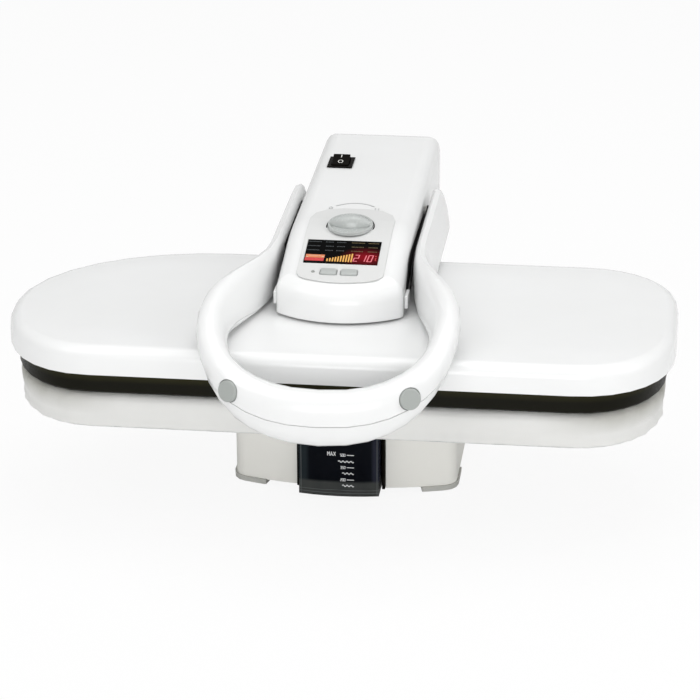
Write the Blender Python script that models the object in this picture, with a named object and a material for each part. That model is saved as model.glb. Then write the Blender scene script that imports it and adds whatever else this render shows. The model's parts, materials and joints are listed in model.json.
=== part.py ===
"""Steam ironing press: a padded board on a low base, a heated plate carried by an arm that is
hinged on a rear column, and a loop handle that turns on the arm. Units are metres, +Z is up, the
user stands at -Y, and the origin lies on the floor under the middle of the whole press."""

from math import asin, atan2, cos, pi, radians, sin, tan

import bmesh
import bpy
from mathutils import Matrix, Vector

mm = 0.001

# Overall sizes
press_depth = 560 * mm
press_width = 652 * mm
clearance = 0.3 * mm
overcut = 4 * mm

# Plate plan: a rounded nose on the left, a squarer end on the right
plate_depth = 280 * mm
handle_reach = 70 * mm
nose_front_run = 98 * mm
nose_front_share = 0.446
nose_back_run = 197 * mm
nose_back_share = 0.554
square_front_run = 97 * mm
square_front_share = 0.4
square_back_run = 96 * mm
square_back_share = 0.343
corner_steps = 8
corner_power = 2.15

# Heights of the stack from the floor up
foot_height = 4.7 * mm
base_bottom = 5 * mm
base_height = 103 * mm
tray_height = 9 * mm
pad_height = 33 * mm
pad_hem_lift = 4 * mm
sole_height = 30 * mm
sole_shown = 21.8 * mm
cover_skirt = 28 * mm
cover_edge_radius = 12 * mm
cover_crown = 1.5 * mm
cover_wall = 2.5 * mm

# Board, tray and soft pad
board_inset = 7 * mm
tray_inset = 13 * mm
tray_wall = 1.5 * mm
cloth_thickness = 2.2 * mm
pad_crown = 1.2 * mm
pad_edge_radius = 9 * mm

# Heated plate
sole_inset = 8 * mm
sole_edge = 2.5 * mm
sole_wall = 4 * mm
sole_floor = 8 * mm
post_radius = 6 * mm
post_half_pitch_x = 110 * mm
post_half_pitch_y = 60 * mm
steam_hole_radius = 3 * mm
steam_hole_depth = 5 * mm
steam_columns = 9
steam_rows = 3
steam_pitch_x = 58 * mm
steam_pitch_y = 52 * mm
heater_radius = 4.5 * mm
heater_bend_radius = 42 * mm
heater_half_length = 205 * mm
chamber_half_width = 150 * mm
chamber_half_depth = 30 * mm
chamber_height = 12 * mm
chamber_edge = 1.5 * mm

# Base housing
base_half_width = 112 * mm
base_short = 4 * mm
base_setback = 126 * mm
base_bulge_radius = 330 * mm
base_front_radius = 16 * mm
base_back_radius = 34 * mm
base_edge_radius = 7 * mm
base_wall = 3 * mm
floor_thickness = 2.5 * mm

# Feet
foot_pad_width = 14 * mm
foot_lip = 1.6 * mm
foot_start = 70 * mm
foot_length = 74 * mm
foot_lip_height = 0.8 * mm

# Water tank
tank_centre_x = -1.8 * mm
tank_half_width = 40 * mm
tank_proud = 22 * mm
tank_length = 175 * mm
tank_bottom = 4.8 * mm
tank_height = 86 * mm
tank_wall = 2.5 * mm
tank_bulge = 4 * mm
tank_pane_inset = 6 * mm
tank_pane_depth = 0.8 * mm
tank_lid_height = 3 * mm
tank_cap_radius = 12 * mm
tank_cap_chamfer = 0.75 * mm
slot_clearance = 1.2 * mm
cradle_wall = 1.6 * mm
cradle_height = 14 * mm
cradle_flange = 10 * mm
bezel_width = 3.4 * mm
bezel_depth = 12 * mm

# Arm
arm_half_width = 62 * mm
arm_setback = 79.5 * mm
arm_bulge_radius = 95 * mm
arm_front_radius = 10 * mm
arm_back_radius = 8 * mm
arm_edge_radius = 16 * mm
arm_wall = 3 * mm
arm_lift = 2.5 * mm
panel_slope = radians(12.5)
rear_slope = radians(0.8)
panel_start = 20.5 * mm
panel_run = 72 * mm
bend_run = 43 * mm
panel_rise = 37 * mm
skirt_gap = 16 * mm
skirt_depth = 42.5 * mm

# Column, head hinge and arm frame
column_half_width = 52 * mm
column_gap = 26 * mm
column_radius = 12 * mm
column_wall = 2.5 * mm
column_edge_radius = 9 * mm
hinge_from_back = 50 * mm
hinge_below_arm = 32.5 * mm
column_behind_hinge = 28 * mm
column_above_hinge = 20 * mm
hinge_radius = 6 * mm
bush_wall = 2 * mm
bush_flange = 1.5 * mm
steel = 3 * mm
frame_front = 128 * mm
frame_behind_hinge = 16 * mm
frame_flange = 17 * mm
ear_rise = radians(30)
lug_radius = 14 * mm
column_plate_x = 42.5 * mm
column_plate_run = 50 * mm
mount_half_width = 38 * mm
mount_setback = 126 * mm
mount_length = 96 * mm
spring_wire = 1.3 * mm
spring_turns = 5
spring_steps = 9
spring_start = radians(120)
spring_lean = radians(12)
spring_pitch = 3.4 * mm
spring_offset = 14 * mm
spring_clearance = 1.2 * mm

# Handle: a loop with a half ellipse at the front and a leg along each side of the arm
ring_setback = 25 * mm
grip_half_thickness = 17 * mm
grip_half_height = 28 * mm
ring_half_width = 123 * mm
grip_drop = 42.5 * mm
side_lift = 15.5 * mm
shoulder_climb = 50 * mm
ring_power = 2.42
rise_power = 1.12
side_half_height = 21 * mm
side_half_thickness = 13 * mm
leg_lift = 24 * mm
leg_half_height = 24.5 * mm
leg_half_thickness = 9 * mm
leg_gap = 3 * mm
leg_start = 182 * mm
leg_end = 345 * mm
tip_length = 20 * mm
tip_blunt_share = 0.4
tip_drop_share = 0.3
tip_inset_share = 0.4
tip_thickness_share = 0.3
shoulder_lead = 52 * mm
shoulder_tail = 80 * mm
shoulder_low_gap = 1.6 * mm
shoulder_low_power = 3.4
grip_lean = radians(8)
side_lean = radians(20)
leg_lean = radians(-6)
leg_taper_share = 0.3
leg_power = 2.8
handle_wall = 2.6 * mm
handle_power = 2.35
leg_parting = radians(-28)
inner_parting_drop = radians(32)
ring_low_shares = ((0, 1), (radians(45), 0.9), (radians(60), 0.72), (radians(70), 0.48),
                   (radians(76), 0.36), (radians(82), 0.38), (radians(90), 0.55))
ring_steps = 9
shoulder_steps = 7
leg_steps = 3
tip_steps = 4
shell_steps = 9
handle_pivot_setback = 338 * mm
handle_pin_radius = 5 * mm
handle_pin_depth = 8 * mm

# Steam buttons on the handle
steam_button_radius = 10.5 * mm
steam_button_depth = 9 * mm
steam_button_proud = 3 * mm
steam_button_turn = radians(40.5)
steam_button_tilt = radians(14)
steam_button_rise = 3 * mm
steam_button_clearance = 0.5 * mm
steam_button_travel = 2.5 * mm

# Rest stops of the handle on the arm's sides
stop_width = 3.4 * mm
stop_rounding = 0.8 * mm
stop_setback = 112 * mm
stop_length = 20 * mm
stop_lift = 5 * mm
stop_height = 13 * mm

# Control panel
panel_half_width = 42.5 * mm
panel_thickness = 1 * mm
panel_length = 149 * mm
panel_corner = 12 * mm
panel_setback = 14.2 * mm
panel_bulge_radius = 105 * mm
panel_back_radius = 30 * mm
panel_steps = 14
display_centre_x = -1.8 * mm
display_half_width = 36.2 * mm
display_length = 42 * mm
display_setback = 26.2 * mm
display_frame = 0.35 * mm
knob_setback = 115 * mm
knob_radius = 22.5 * mm
knob_height = 3 * mm
knob_rim = 2 * mm
knob_dish = 2 * mm
knob_ridge_height = 8.6 * mm
knob_ridge_half_width = 9 * mm
knob_ridge_end_share = 0.24
knob_ridge_shares = ((1, 0), (0.9, 0.5), (0.66, 0.86), (0.3, 1))
knob_ridge_steps = 10
knob_sensor_radius = 9 * mm
knob_pin_radius = 3.5 * mm
knob_pin_length = 14 * mm
knob_clearance = 0.6 * mm
button_half_width = 8.2 * mm
button_half_length = 5 * mm
button_first_x = -11.3 * mm
button_pitch = 20.1 * mm
button_setback = 11 * mm
button_height = 2.2 * mm
button_rounding = 2 * mm
button_clearance = 0.4 * mm
button_travel = 0.8 * mm
lamp_x = -26.4 * mm
lamp_radius = 1.6 * mm
lamp_height = 0.6 * mm
board_thickness = 1.6 * mm
display_board_inset = 6.5 * mm

# Rocker switch
switch_x = -32.7 * mm
switch_from_back = 108.5 * mm
switch_half_width = 13.2 * mm
switch_half_length = 16 * mm
switch_flange = 1.4 * mm
switch_frame = 2.6 * mm
switch_body_depth = 18 * mm
rocker_clearance = 0.5 * mm
rocker_rise = 4.8 * mm
rocker_end_share = 0.9
rocker_depth = 5 * mm
rocker_pocket_depth = 9.5 * mm
rocker_tilt = radians(11)

# Inner units of the base, and the inlet at the back
pump_radius = 17 * mm
pump_length = 46 * mm
pump_setback = 345 * mm
pump_x = -58 * mm
pump_foot = 4 * mm
pump_neck_share = 0.8
pump_neck_length = 14 * mm
pump_foot_shares = (0.35, 0.95)
relay_board_length = 90 * mm
relay_board_width = 60 * mm
relay_board_x = 62 * mm
relay_board_setback = 290 * mm
inlet_x = 60 * mm
inlet_height = 30 * mm
inlet_radius = 8 * mm
inlet_flange = 3 * mm
inlet_flange_depth = 2.5 * mm
inlet_bore_share = 0.45
vent_count = 7
vent_pitch = 9 * mm
vent_width = 3.5 * mm
vent_height = 26 * mm
vent_lift = 36 * mm
screw_radius = 3.5 * mm
screw_face_share = 0.7
screw_height = 2.2 * mm
screw_place_shares = ((-0.8, 0.4), (0.8, 0.4), (-0.7, 0.93), (0.7, 0.93))

# Places worked out from the sizes above
plate_front = -press_depth / 2 + handle_reach
plate_back = plate_front + plate_depth
plate_half = press_width / 2
nose_front_depth = plate_depth * nose_front_share
nose_back_depth = plate_depth * nose_back_share
square_front_depth = plate_depth * square_front_share
square_back_depth = plate_depth * square_back_share
base_top = base_bottom + base_height
tray_bottom = base_top + clearance
board_bottom = tray_bottom + pad_hem_lift
board_top = board_bottom + pad_height
sole_bottom = board_top + clearance
cover_bottom = sole_bottom + sole_shown
cover_top = cover_bottom + cover_skirt
base_front = plate_front + base_setback
arm_front = plate_front + arm_setback
arm_back = press_depth / 2
arm_bottom = cover_top + cover_crown + arm_lift
shoulder_bottom = cover_top + cover_crown + shoulder_low_gap
skirt_front = plate_back + skirt_gap
column_front = plate_back + column_gap
hinge_height = arm_bottom - hinge_below_arm
skirt_bottom = arm_bottom - skirt_depth
panel_start_height = arm_bottom + panel_rise
grip_height = arm_bottom - grip_drop
side_height = arm_bottom + side_lift
leg_height = arm_bottom + leg_lift
frame_bottom = arm_bottom + arm_wall + clearance
hinge_y = arm_back - hinge_from_back
column_back = hinge_y + column_behind_hinge
base_back = arm_back - base_short
column_top = hinge_height + column_above_hinge
ring_y = plate_front + ring_setback
leg_x = arm_half_width + leg_gap + leg_half_thickness
ring_rx = ring_half_width - side_half_thickness
handle_pivot_y = plate_front + handle_pivot_setback
flange_x = arm_half_width - arm_wall - clearance
mount_front = plate_front + mount_setback
mount_back = mount_front + mount_length

for old in list(bpy.data.objects):
    bpy.data.objects.remove(old, do_unlink=True)


def material(name, colour, roughness, metallic=0.0, alpha=1.0):
    """One plain surface for a kind of part."""
    made = bpy.data.materials.new(name)
    made.use_nodes = True
    shader = made.node_tree.nodes["Principled BSDF"]
    shader.inputs["Base Color"].default_value = (*colour, 1.0)
    shader.inputs["Roughness"].default_value = roughness
    shader.inputs["Metallic"].default_value = metallic
    shader.inputs["Alpha"].default_value = alpha
    made.diffuse_color = (*colour, alpha)
    return made


gloss_white = material("gloss_white", (0.86, 0.87, 0.88), 0.18)
satin_white = material("satin_white", (0.80, 0.79, 0.76), 0.4)
light_grey = material("light_grey", (0.48, 0.50, 0.50), 0.4)
foot_grey = material("foot_grey", (0.36, 0.36, 0.34), 0.6)
gloss_black = material("gloss_black", (0.01, 0.01, 0.012), 0.15)
smoke = material("smoke", (0.01, 0.012, 0.02), 0.08, alpha=0.6)
coated_metal = material("coated_metal", (0.028, 0.022, 0.015), 0.35, 0.4)
steel_finish = material("steel_finish", (0.55, 0.56, 0.57), 0.3, 1.0)
zinc_sheet = material("zinc_sheet", (0.62, 0.63, 0.62), 0.45, 0.9)
cloth_white = material("cloth_white", (0.74, 0.74, 0.72), 0.9)
felt_grey = material("felt_grey", (0.6, 0.58, 0.52), 0.95)
circuit_green = material("circuit_green", (0.02, 0.12, 0.06), 0.5)
lamp_clear = material("lamp_clear", (0.3, 0.32, 0.3), 0.2)
nylon = material("nylon", (0.75, 0.74, 0.68), 0.5)
rubber = material("rubber", (0.02, 0.02, 0.02), 0.7)


def add_object(name, mesh, finish):
    """Link a mesh as one named part with outward faces and smooth round sides."""
    work = bmesh.new()
    work.from_mesh(mesh)
    bmesh.ops.recalc_face_normals(work, faces=work.faces)
    work.to_mesh(mesh)
    work.free()
    mesh.shade_smooth()
    mesh.set_sharp_from_angle(angle=radians(35))
    part = bpy.data.objects.new(name, mesh)
    part.data.materials.append(finish)
    bpy.context.scene.collection.objects.link(part)
    return part


def from_faces(name, points, faces, finish):
    mesh = bpy.data.meshes.new(name)
    mesh.from_pydata([tuple(p) for p in points], [], faces)
    return add_object(name, mesh, finish)


def strip_cap(first, count, flip):
    """Close a ring of points by strips from one half of it to the other."""
    faces = []
    for i in range(count // 2 - 1):
        a, b, c, d = i, i + 1, count - 2 - i, count - 1 - i
        face = [first + k for k in (a, b, c, d)]
        faces.append(face[::-1] if flip else face)
    if count % 2:
        face = [first + count // 2 + k for k in (-1, 0, 1)]
        faces.append(face[::-1] if flip else face)
    return faces


def loft(name, rings, finish, closed=False):
    """Skin rings of equal count; the ends get strip caps unless the rings close on themselves."""
    count = len(rings[0])
    points = [p for ring in rings for p in ring]
    faces = []
    pairs = len(rings) if closed else len(rings) - 1
    for k in range(pairs):
        low, high = k * count, ((k + 1) % len(rings)) * count
        for i in range(count):
            j = (i + 1) % count
            faces.append((low + i, low + j, high + j, high + i))
    if not closed:
        faces += strip_cap(0, count, True)
        faces += strip_cap((len(rings) - 1) * count, count, False)
    return from_faces(name, points, faces, finish)


def level(plan, height):
    """Lift a plan outline to a height, which may depend on how far back a point lies."""
    if callable(height):
        return [Vector((x, y, height(y))) for x, y in plan]
    return [Vector((x, y, height)) for x, y in plan]


def cap_shell(name, plan, profile, wall, finish):
    """A thin cap, open below: profile lists inset and height from the rim up to the crown."""
    outer = [level(plan(inset), height) for inset, height in profile]
    inner = [level(plan(profile[0][0] + wall), profile[0][1])]
    for inset, height in profile[1:]:
        lower = (lambda y, h=height: h(y) - wall) if callable(height) else height - wall
        inner.append(level(plan(inset + wall), lower))
    return loft(name, inner[::-1] + outer, finish)


def box(name, low, high, finish, bevel=0.0):
    mesh = bpy.data.meshes.new(name)
    work = bmesh.new()
    bmesh.ops.create_cube(work, size=1.0)
    size = [h - l for l, h in zip(low, high)]
    middle = [(h + l) / 2 for l, h in zip(low, high)]
    for vert in work.verts:
        vert.co = Vector([c * s + m for c, s, m in zip(vert.co, size, middle)])
    if bevel:
        bmesh.ops.bevel(work, geom=list(work.edges), offset=bevel, segments=2, profile=0.5,
                        affect="EDGES", clamp_overlap=True)
    work.to_mesh(mesh)
    work.free()
    return add_object(name, mesh, finish)


def turned(name, profile, finish, sides=24, centre=(0, 0, 0), direction=(0, 0, 1)):
    """A round piece from (radius, height) pairs along its axis; a radius of zero ends it."""
    points, rows = [], []
    turn = Vector((0, 0, 1)).rotation_difference(Vector(direction)).to_matrix()
    for radius, height in profile:
        row = []
        for k in range(1 if radius == 0 else sides):
            angle = 2 * pi * k / sides
            spot = Vector((radius * cos(angle), radius * sin(angle), height))
            row.append(len(points))
            points.append(turn @ spot + Vector(centre))
        rows.append(row)
    faces = []
    loops = list(zip(rows, rows[1:]))
    if profile[0][0] != 0 and profile[-1][0] != 0:
        loops.append((rows[-1], rows[0]))
    for low, high in loops:
        for k in range(sides):
            face = [low[k % len(low)], low[(k + 1) % len(low)],
                    high[(k + 1) % len(high)], high[k % len(high)]]
            unique = list(dict.fromkeys(face))
            if len(unique) > 2:
                faces.append(unique)
    return from_faces(name, points, faces, finish)


def disc_profile(radius, low, high):
    return ((0, low), (radius, low), (radius, high), (0, high))


def tube_profile(inner, outer, low, high):
    return ((inner, low), (outer, low), (outer, high), (inner, high))


def as_cutter(part):
    part.hide_render = True
    part.display_type = "WIRE"
    return part


def cut(part, cutter):
    """Take the cutter's shape out of the part."""
    hole = part.modifiers.new("cut_" + cutter.name, "BOOLEAN")
    hole.operation = "DIFFERENCE"
    hole.solver = "EXACT"
    hole.object = as_cutter(cutter)
    return part


def corner(centre_x, centre_y, run, reach, start, power=2.0, steps=corner_steps):
    """Points along a quarter of a rounded corner, from angle start onward."""
    spots = []
    for k in range(steps + 1):
        angle = start + pi / 2 * k / steps
        c, s = cos(angle), sin(angle)
        x = abs(c) ** (2 / power) * (1 if c >= 0 else -1)
        y = abs(s) ** (2 / power) * (1 if s >= 0 else -1)
        spots.append((centre_x + run * x, centre_y + reach * y))
    return spots


def plate_plan(inset):
    """Plan of the plate, board and cover, drawn in by an inset."""
    left, right = -plate_half, plate_half
    front, back = plate_front, plate_back
    plan = corner(left + nose_front_run, front + nose_front_depth,
                  nose_front_run - inset, nose_front_depth - inset, pi, corner_power)
    plan += corner(right - square_front_run, front + square_front_depth,
                   square_front_run - inset, square_front_depth - inset, 3 * pi / 2, corner_power)
    plan += corner(right - square_back_run, back - square_back_depth,
                   square_back_run - inset, square_back_depth - inset, 0, corner_power)
    plan += corner(left + nose_back_run, back - nose_back_depth,
                   nose_back_run - inset, nose_back_depth - inset, pi / 2)
    return plan


def bowed_plan(inset, half_width, front, back, bulge, front_radius, back_radius, stations):
    """Half symmetric plan with a bowed front: right side from the front middle to the back."""
    half = half_width - inset
    bow = bulge - inset
    centre_y = front + bulge
    radius = max(front_radius - inset, front_radius / 8)
    edge = asin((half - radius) / (bow - radius))
    right = []
    bow_steps = 5
    for k in range(bow_steps + 1):
        angle = edge * (k + 0.5) / (bow_steps + 0.5)
        right.append((bow * sin(angle), centre_y - bow * cos(angle)))
    turn_x, turn_y = half - radius, centre_y - (bow - radius) * cos(edge)
    turn_steps = 3
    for k in range(1, turn_steps + 1):
        angle = edge + (pi / 2 - edge) * k / turn_steps
        right.append((turn_x + radius * sin(angle), turn_y - radius * cos(angle)))
    end = back - max(back_radius, inset)
    side_front = right[-1][1]
    for y in stations:
        right.append((half, min(max(y, side_front + clearance), end - clearance)))
    rear = max(back_radius - inset, back_radius / 8)
    for k in range(4):
        angle = pi / 2 * k / 3
        right.append((half - rear + rear * cos(angle), back - inset - rear + rear * sin(angle)))
    return right + [(-x, y) for x, y in reversed(right)]


def arm_top(y):
    """Height of the arm's crown: a sloped panel, a soft bend and a long, almost level back."""
    start = arm_front + panel_start
    along = y - start
    if along <= panel_run:
        return panel_start_height + along * tan(panel_slope)
    panel_end = panel_start_height + panel_run * tan(panel_slope)
    share = min((along - panel_run) / bend_run, 1.0)
    first, last = tan(panel_slope), tan(rear_slope)
    bend = bend_run * (first * share + (last - first) * share * share / 2)
    rest = max(along - panel_run - bend_run, 0.0)
    return panel_end + bend + rest * last


def arm_slope(y):
    """Slope angle of the crown at a distance back."""
    along = y - arm_front - panel_start
    share = min(max((along - panel_run) / bend_run, 0.0), 1.0)
    return atan2(tan(panel_slope) * (1 - share) + tan(rear_slope) * share, 1.0)


def arm_plan(inset):
    start = arm_front + panel_start
    stations = [start + panel_run * k / 2 for k in (1, 2)]
    stations += [start + panel_run + bend_run * k / 3 for k in (1, 2, 3)]
    stations += [skirt_front, skirt_front + arm_wall,
                 handle_pivot_y + steel, hinge_y - lug_radius, hinge_y]
    return bowed_plan(inset, arm_half_width, arm_front, arm_back, arm_bulge_radius,
                      arm_front_radius, arm_back_radius, sorted(stations))


def edge_rounds(radius, steps):
    """Inset and drop pairs of a rounded edge, from the wall to the crown."""
    return [(radius * (1 - cos(pi / 2 * k / steps)), radius * (1 - sin(pi / 2 * k / steps)))
            for k in range(steps + 1)]


def base_plan(inset):
    stations = [base_front + (base_back - base_front) * share for share in (0.25, 0.5, 0.75)]
    return bowed_plan(inset, base_half_width, base_front, base_back, base_bulge_radius,
                      base_front_radius, base_back_radius, stations)


def build_base():
    profile = [(0, base_bottom), (0, base_top - base_edge_radius)]
    profile += [(inset, base_top - drop) for inset, drop in edge_rounds(base_edge_radius, 3)[1:]]
    housing = cap_shell("base_housing", base_plan, profile, base_wall, satin_white)
    slot_half = tank_half_width + slot_clearance + bezel_width
    slot_top = tank_bottom + tank_height + slot_clearance + bezel_width
    cut(housing, box("tank_slot_cutter",
                     (tank_centre_x - slot_half, base_front - overcut, 0),
                     (tank_centre_x + slot_half, base_front + tank_length, slot_top), rubber))
    for k in range(vent_count):
        x = (k - (vent_count - 1) / 2) * vent_pitch
        low = base_bottom + vent_lift
        cut(housing, box("vent_cutter_%d" % (k + 1),
                         (x - vent_width / 2, base_back - base_wall - overcut, low),
                         (x + vent_width / 2, base_back + overcut, low + vent_height), rubber))
    cut(housing, turned("inlet_cutter", disc_profile(inlet_radius, -overcut - base_wall, overcut),
                        rubber, 20, (inlet_x, base_back, base_bottom + inlet_height), (0, 1, 0)))
    build_floor()
    build_feet()


def build_floor():
    inset = base_wall + clearance
    rings = [level(base_plan(inset), base_bottom), level(base_plan(inset),
                                                        base_bottom + floor_thickness)]
    floor = loft("base_floor", rings, satin_white)
    half = tank_half_width + slot_clearance + bezel_width
    back = base_front - tank_proud + tank_length + slot_clearance + cradle_wall + clearance
    cut(floor, box("floor_slot_cutter", (tank_centre_x - half, base_front - overcut, 0),
                   (tank_centre_x + half, back, base_bottom + floor_thickness + overcut), rubber))


def run_of(line, start, end):
    """Part of a line of plan points between two lengths along it."""
    spots, passed = [], 0.0
    for (x, y), (next_x, next_y) in zip(line, line[1:]):
        length = Vector((next_x - x, next_y - y)).length
        for mark in (start, end):
            if passed <= mark < passed + length:
                share = (mark - passed) / length
                spots.append((x + (next_x - x) * share, y + (next_y - y) * share))
        passed += length
        if start + clearance < passed < end - clearance:
            spots.append((next_x, next_y))
    return spots


def build_feet():
    """Grey feet that wrap the lower corners: a pad below the wall and a low lip outside it."""
    outline = base_plan(0)
    right = outline[:len(outline) // 2]
    corners = {"front_right": run_of(right, foot_start, foot_start + foot_length),
               "back_right": run_of(right[::-1], 0, foot_length)[::-1]}
    for place, run in corners.items():
        for side, mirror in (("right", 1), ("left", -1)):
            rings = []
            for k, (x, y) in enumerate(run):
                before, after = run[max(k - 1, 0)], run[min(k + 1, len(run) - 1)]
                along = Vector((after[0] - before[0], after[1] - before[1])).normalized()
                out = Vector((along.y, -along.x))
                section = ((-foot_pad_width, 0), (foot_lip, 0),
                           (foot_lip + clearance, foot_height + foot_lip_height),
                           (clearance, foot_height + foot_lip_height),
                           (clearance, foot_height), (-foot_pad_width, foot_height))
                rings.append([Vector(((x + out.x * o) * mirror, y + out.y * o, z))
                              for o, z in section])
            name = "foot_" + place.replace("right", side)
            loft(name, rings, foot_grey)


def build_board():
    """Tray, felt and the drawn cloth cover of the lower board."""
    top_plan = lambda inset: plate_plan(inset + board_inset)
    rim, floor = tray_bottom + tray_height, tray_bottom + tray_wall
    loft_open("board_tray", [level(plate_plan(tray_inset + tray_wall), rim),
                             level(plate_plan(tray_inset + 2 * tray_wall), floor),
                             level(plate_plan(tray_inset + tray_wall), tray_bottom),
                             level(plate_plan(tray_inset), rim)], zinc_sheet)
    felt_bottom = tray_bottom + tray_height + clearance
    felt_top = board_top - cloth_thickness - clearance - pad_crown
    hem = tray_inset - board_inset - cloth_thickness - clearance
    felt_inset = board_inset + cloth_thickness + hem + 2 * clearance
    loft("board_felt", [level(plate_plan(felt_inset + pad_edge_radius / 3), felt_bottom),
                        level(plate_plan(felt_inset), felt_bottom + pad_edge_radius / 3),
                        level(plate_plan(felt_inset), felt_top - pad_edge_radius),
                        level(plate_plan(felt_inset + pad_edge_radius / 2), felt_top - clearance),
                        level(plate_plan(felt_inset + 2 * pad_edge_radius), felt_top)], felt_grey)
    profile = [(hem, board_bottom - pad_hem_lift / 2),
               (hem, tray_bottom + tray_height + cloth_thickness),
               (hem / 4, board_bottom + pad_height / 2),
               (0, board_top - pad_edge_radius),
               (pad_edge_radius / 4, board_top - pad_edge_radius / 2.5),
               (pad_edge_radius, board_top - pad_crown),
               (4 * pad_edge_radius, board_top)]
    cap_shell("board_cover", top_plan, profile, cloth_thickness, cloth_white)


def build_plate():
    """Heat shield cover and the heated sole with its steam chamber and heating element."""
    profile = [(0, cover_bottom), (0, cover_top - cover_edge_radius)]
    profile += [(inset, cover_top - drop) for inset, drop in edge_rounds(cover_edge_radius, 4)[1:]]
    profile += [(4 * cover_edge_radius, cover_top + cover_crown)]
    cap_shell("plate_cover", plate_plan, profile, cover_wall, gloss_white)
    rim, inner, floor = sole_bottom + sole_height, sole_inset + sole_wall, sole_bottom + sole_floor
    sole = loft_open("sole_plate", [level(plate_plan(inner), rim), level(plate_plan(inner), floor),
                                    level(plate_plan(sole_inset + sole_edge), sole_bottom),
                                    level(plate_plan(sole_inset), sole_bottom + sole_edge),
                                    level(plate_plan(sole_inset), rim)], coated_metal)
    middle = plate_front + plate_depth / 2
    post_top = cover_top - cover_wall - clearance
    for index, (side, row) in enumerate(((1, 1), (-1, 1), (-1, -1), (1, -1))):
        unite(sole, turned("sole_post_%d" % (index + 1),
                           disc_profile(post_radius, floor - sole_edge, post_top), coated_metal, 16,
                           (side * post_half_pitch_x, middle + row * post_half_pitch_y, 0)))
    holes = bmesh.new()
    for i in range(steam_columns):
        for j in range(steam_rows):
            x = (i - (steam_columns - 1) / 2) * steam_pitch_x
            y = middle + (j - (steam_rows - 1) / 2) * steam_pitch_y
            place = Matrix.Translation((x, y, sole_bottom + steam_hole_depth / 2 - overcut / 2))
            bmesh.ops.create_cone(holes, cap_ends=True, segments=8, radius1=steam_hole_radius,
                                  radius2=steam_hole_radius, depth=steam_hole_depth + overcut,
                                  matrix=place)
    mesh = bpy.data.meshes.new("steam_hole_cutter")
    holes.to_mesh(mesh)
    holes.free()
    cut(sole, add_object("steam_hole_cutter", mesh, rubber))
    seat = floor + clearance
    box("steam_chamber_lid", (-chamber_half_width, middle - chamber_half_depth, seat),
        (chamber_half_width, middle + chamber_half_depth, seat + chamber_height), coated_metal,
        chamber_edge)
    build_heater(middle, seat + heater_radius)


def build_heater(middle, height):
    """A long hairpin heating element that lies round the steam chamber."""
    path = []
    arc_steps = 8
    for side in (1, -1):
        for k in range(arc_steps + 1):
            angle = -pi / 2 + pi * k / arc_steps
            x = heater_half_length * side + heater_bend_radius * cos(angle) * side
            path.append(Vector((x, middle + heater_bend_radius * sin(angle) * side, height)))
    path = path[1:]
    tube("heating_element", path, heater_radius, 8, steel_finish)


def tube(name, path, radius, sides, finish):
    """A round bar along points, with flat ends."""
    rings = []
    for k, spot in enumerate(path):
        ahead = path[min(k + 1, len(path) - 1)] - path[max(k - 1, 0)]
        ahead.normalize()
        side = ahead.cross(Vector((0, 0, 1)))
        if side.length < 0.1:
            side = ahead.cross(Vector((1, 0, 0)))
        side.normalize()
        up = side.cross(ahead)
        rings.append([spot + side * (radius * cos(2 * pi * i / sides))
                      + up * (radius * sin(2 * pi * i / sides)) for i in range(sides)])
    return loft(name, rings, finish)


def build_cradle():
    """Channel under the base floor that the tank slides and rests in, with a stop at its end."""
    half = tank_half_width + slot_clearance
    front = base_front + bezel_depth + 2 * base_wall
    back = base_front - tank_proud + tank_length + slot_clearance
    outer = half + cradle_wall
    rise = base_bottom + floor_thickness + clearance
    low = tank_bottom - clearance - cradle_wall
    cradle = box("tank_cradle", (tank_centre_x - outer, front, low),
                 (tank_centre_x + outer, back + cradle_wall, rise + cradle_height), zinc_sheet)
    cut(cradle, box("cradle_cutter", (tank_centre_x - half, front - overcut, low + cradle_wall),
                    (tank_centre_x + half, back, rise + cradle_height + overcut), rubber))
    for side, sign in (("right", 1), ("left", -1)):
        edges = sorted((tank_centre_x + sign * (outer - cradle_wall / 2),
                        tank_centre_x + sign * (outer + cradle_flange)))
        unite(cradle, box("cradle_flange_" + side, (edges[0], front, rise),
                          (edges[1], back + cradle_wall, rise + cradle_wall), zinc_sheet))


def tank_plan(inset, front, back):
    """Rectangle with a softly bulged front."""
    half = tank_half_width - inset
    steps = 6
    spots = []
    for k in range(steps + 1):
        share = k / steps
        x = half * (2 * share - 1)
        spots.append((tank_centre_x + x, front + tank_bulge * (2 * share - 1) ** 2 + inset))
    for k in range(steps + 1):
        share = k / steps
        spots.append((tank_centre_x + half * (1 - 2 * share), back - inset))
    return spots


def build_tank():
    front = base_front - tank_proud
    back = front + tank_length
    top = tank_bottom + tank_height - tank_lid_height - clearance
    rings = [level(tank_plan(tank_wall, front, back), top),
             level(tank_plan(tank_wall, front, back), tank_bottom + tank_wall),
             level(tank_plan(0, front, back), tank_bottom),
             level(tank_plan(0, front, back), top)]
    tank = loft_open("water_tank", rings, smoke)
    pane_low = tank_bottom + tank_pane_inset
    pane_high = top - tank_pane_inset
    half = tank_half_width - tank_pane_inset
    cut(tank, box("tank_pane_cutter", (tank_centre_x - half, front - overcut, pane_low),
                  (tank_centre_x + half, front + tank_pane_depth, pane_high), rubber))
    lid_low = top + clearance
    lid = loft("tank_lid", [level(tank_plan(0, front, back), lid_low),
                            level(tank_plan(0, front, back), lid_low + tank_lid_height)], smoke)
    cut(lid, turned("filler_cutter", disc_profile(tank_cap_radius, -overcut,
                                                  tank_lid_height + overcut), rubber, 20,
                    (tank_centre_x, front + tank_length / 2, lid_low)))
    build_bezel()
    build_cradle()


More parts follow.
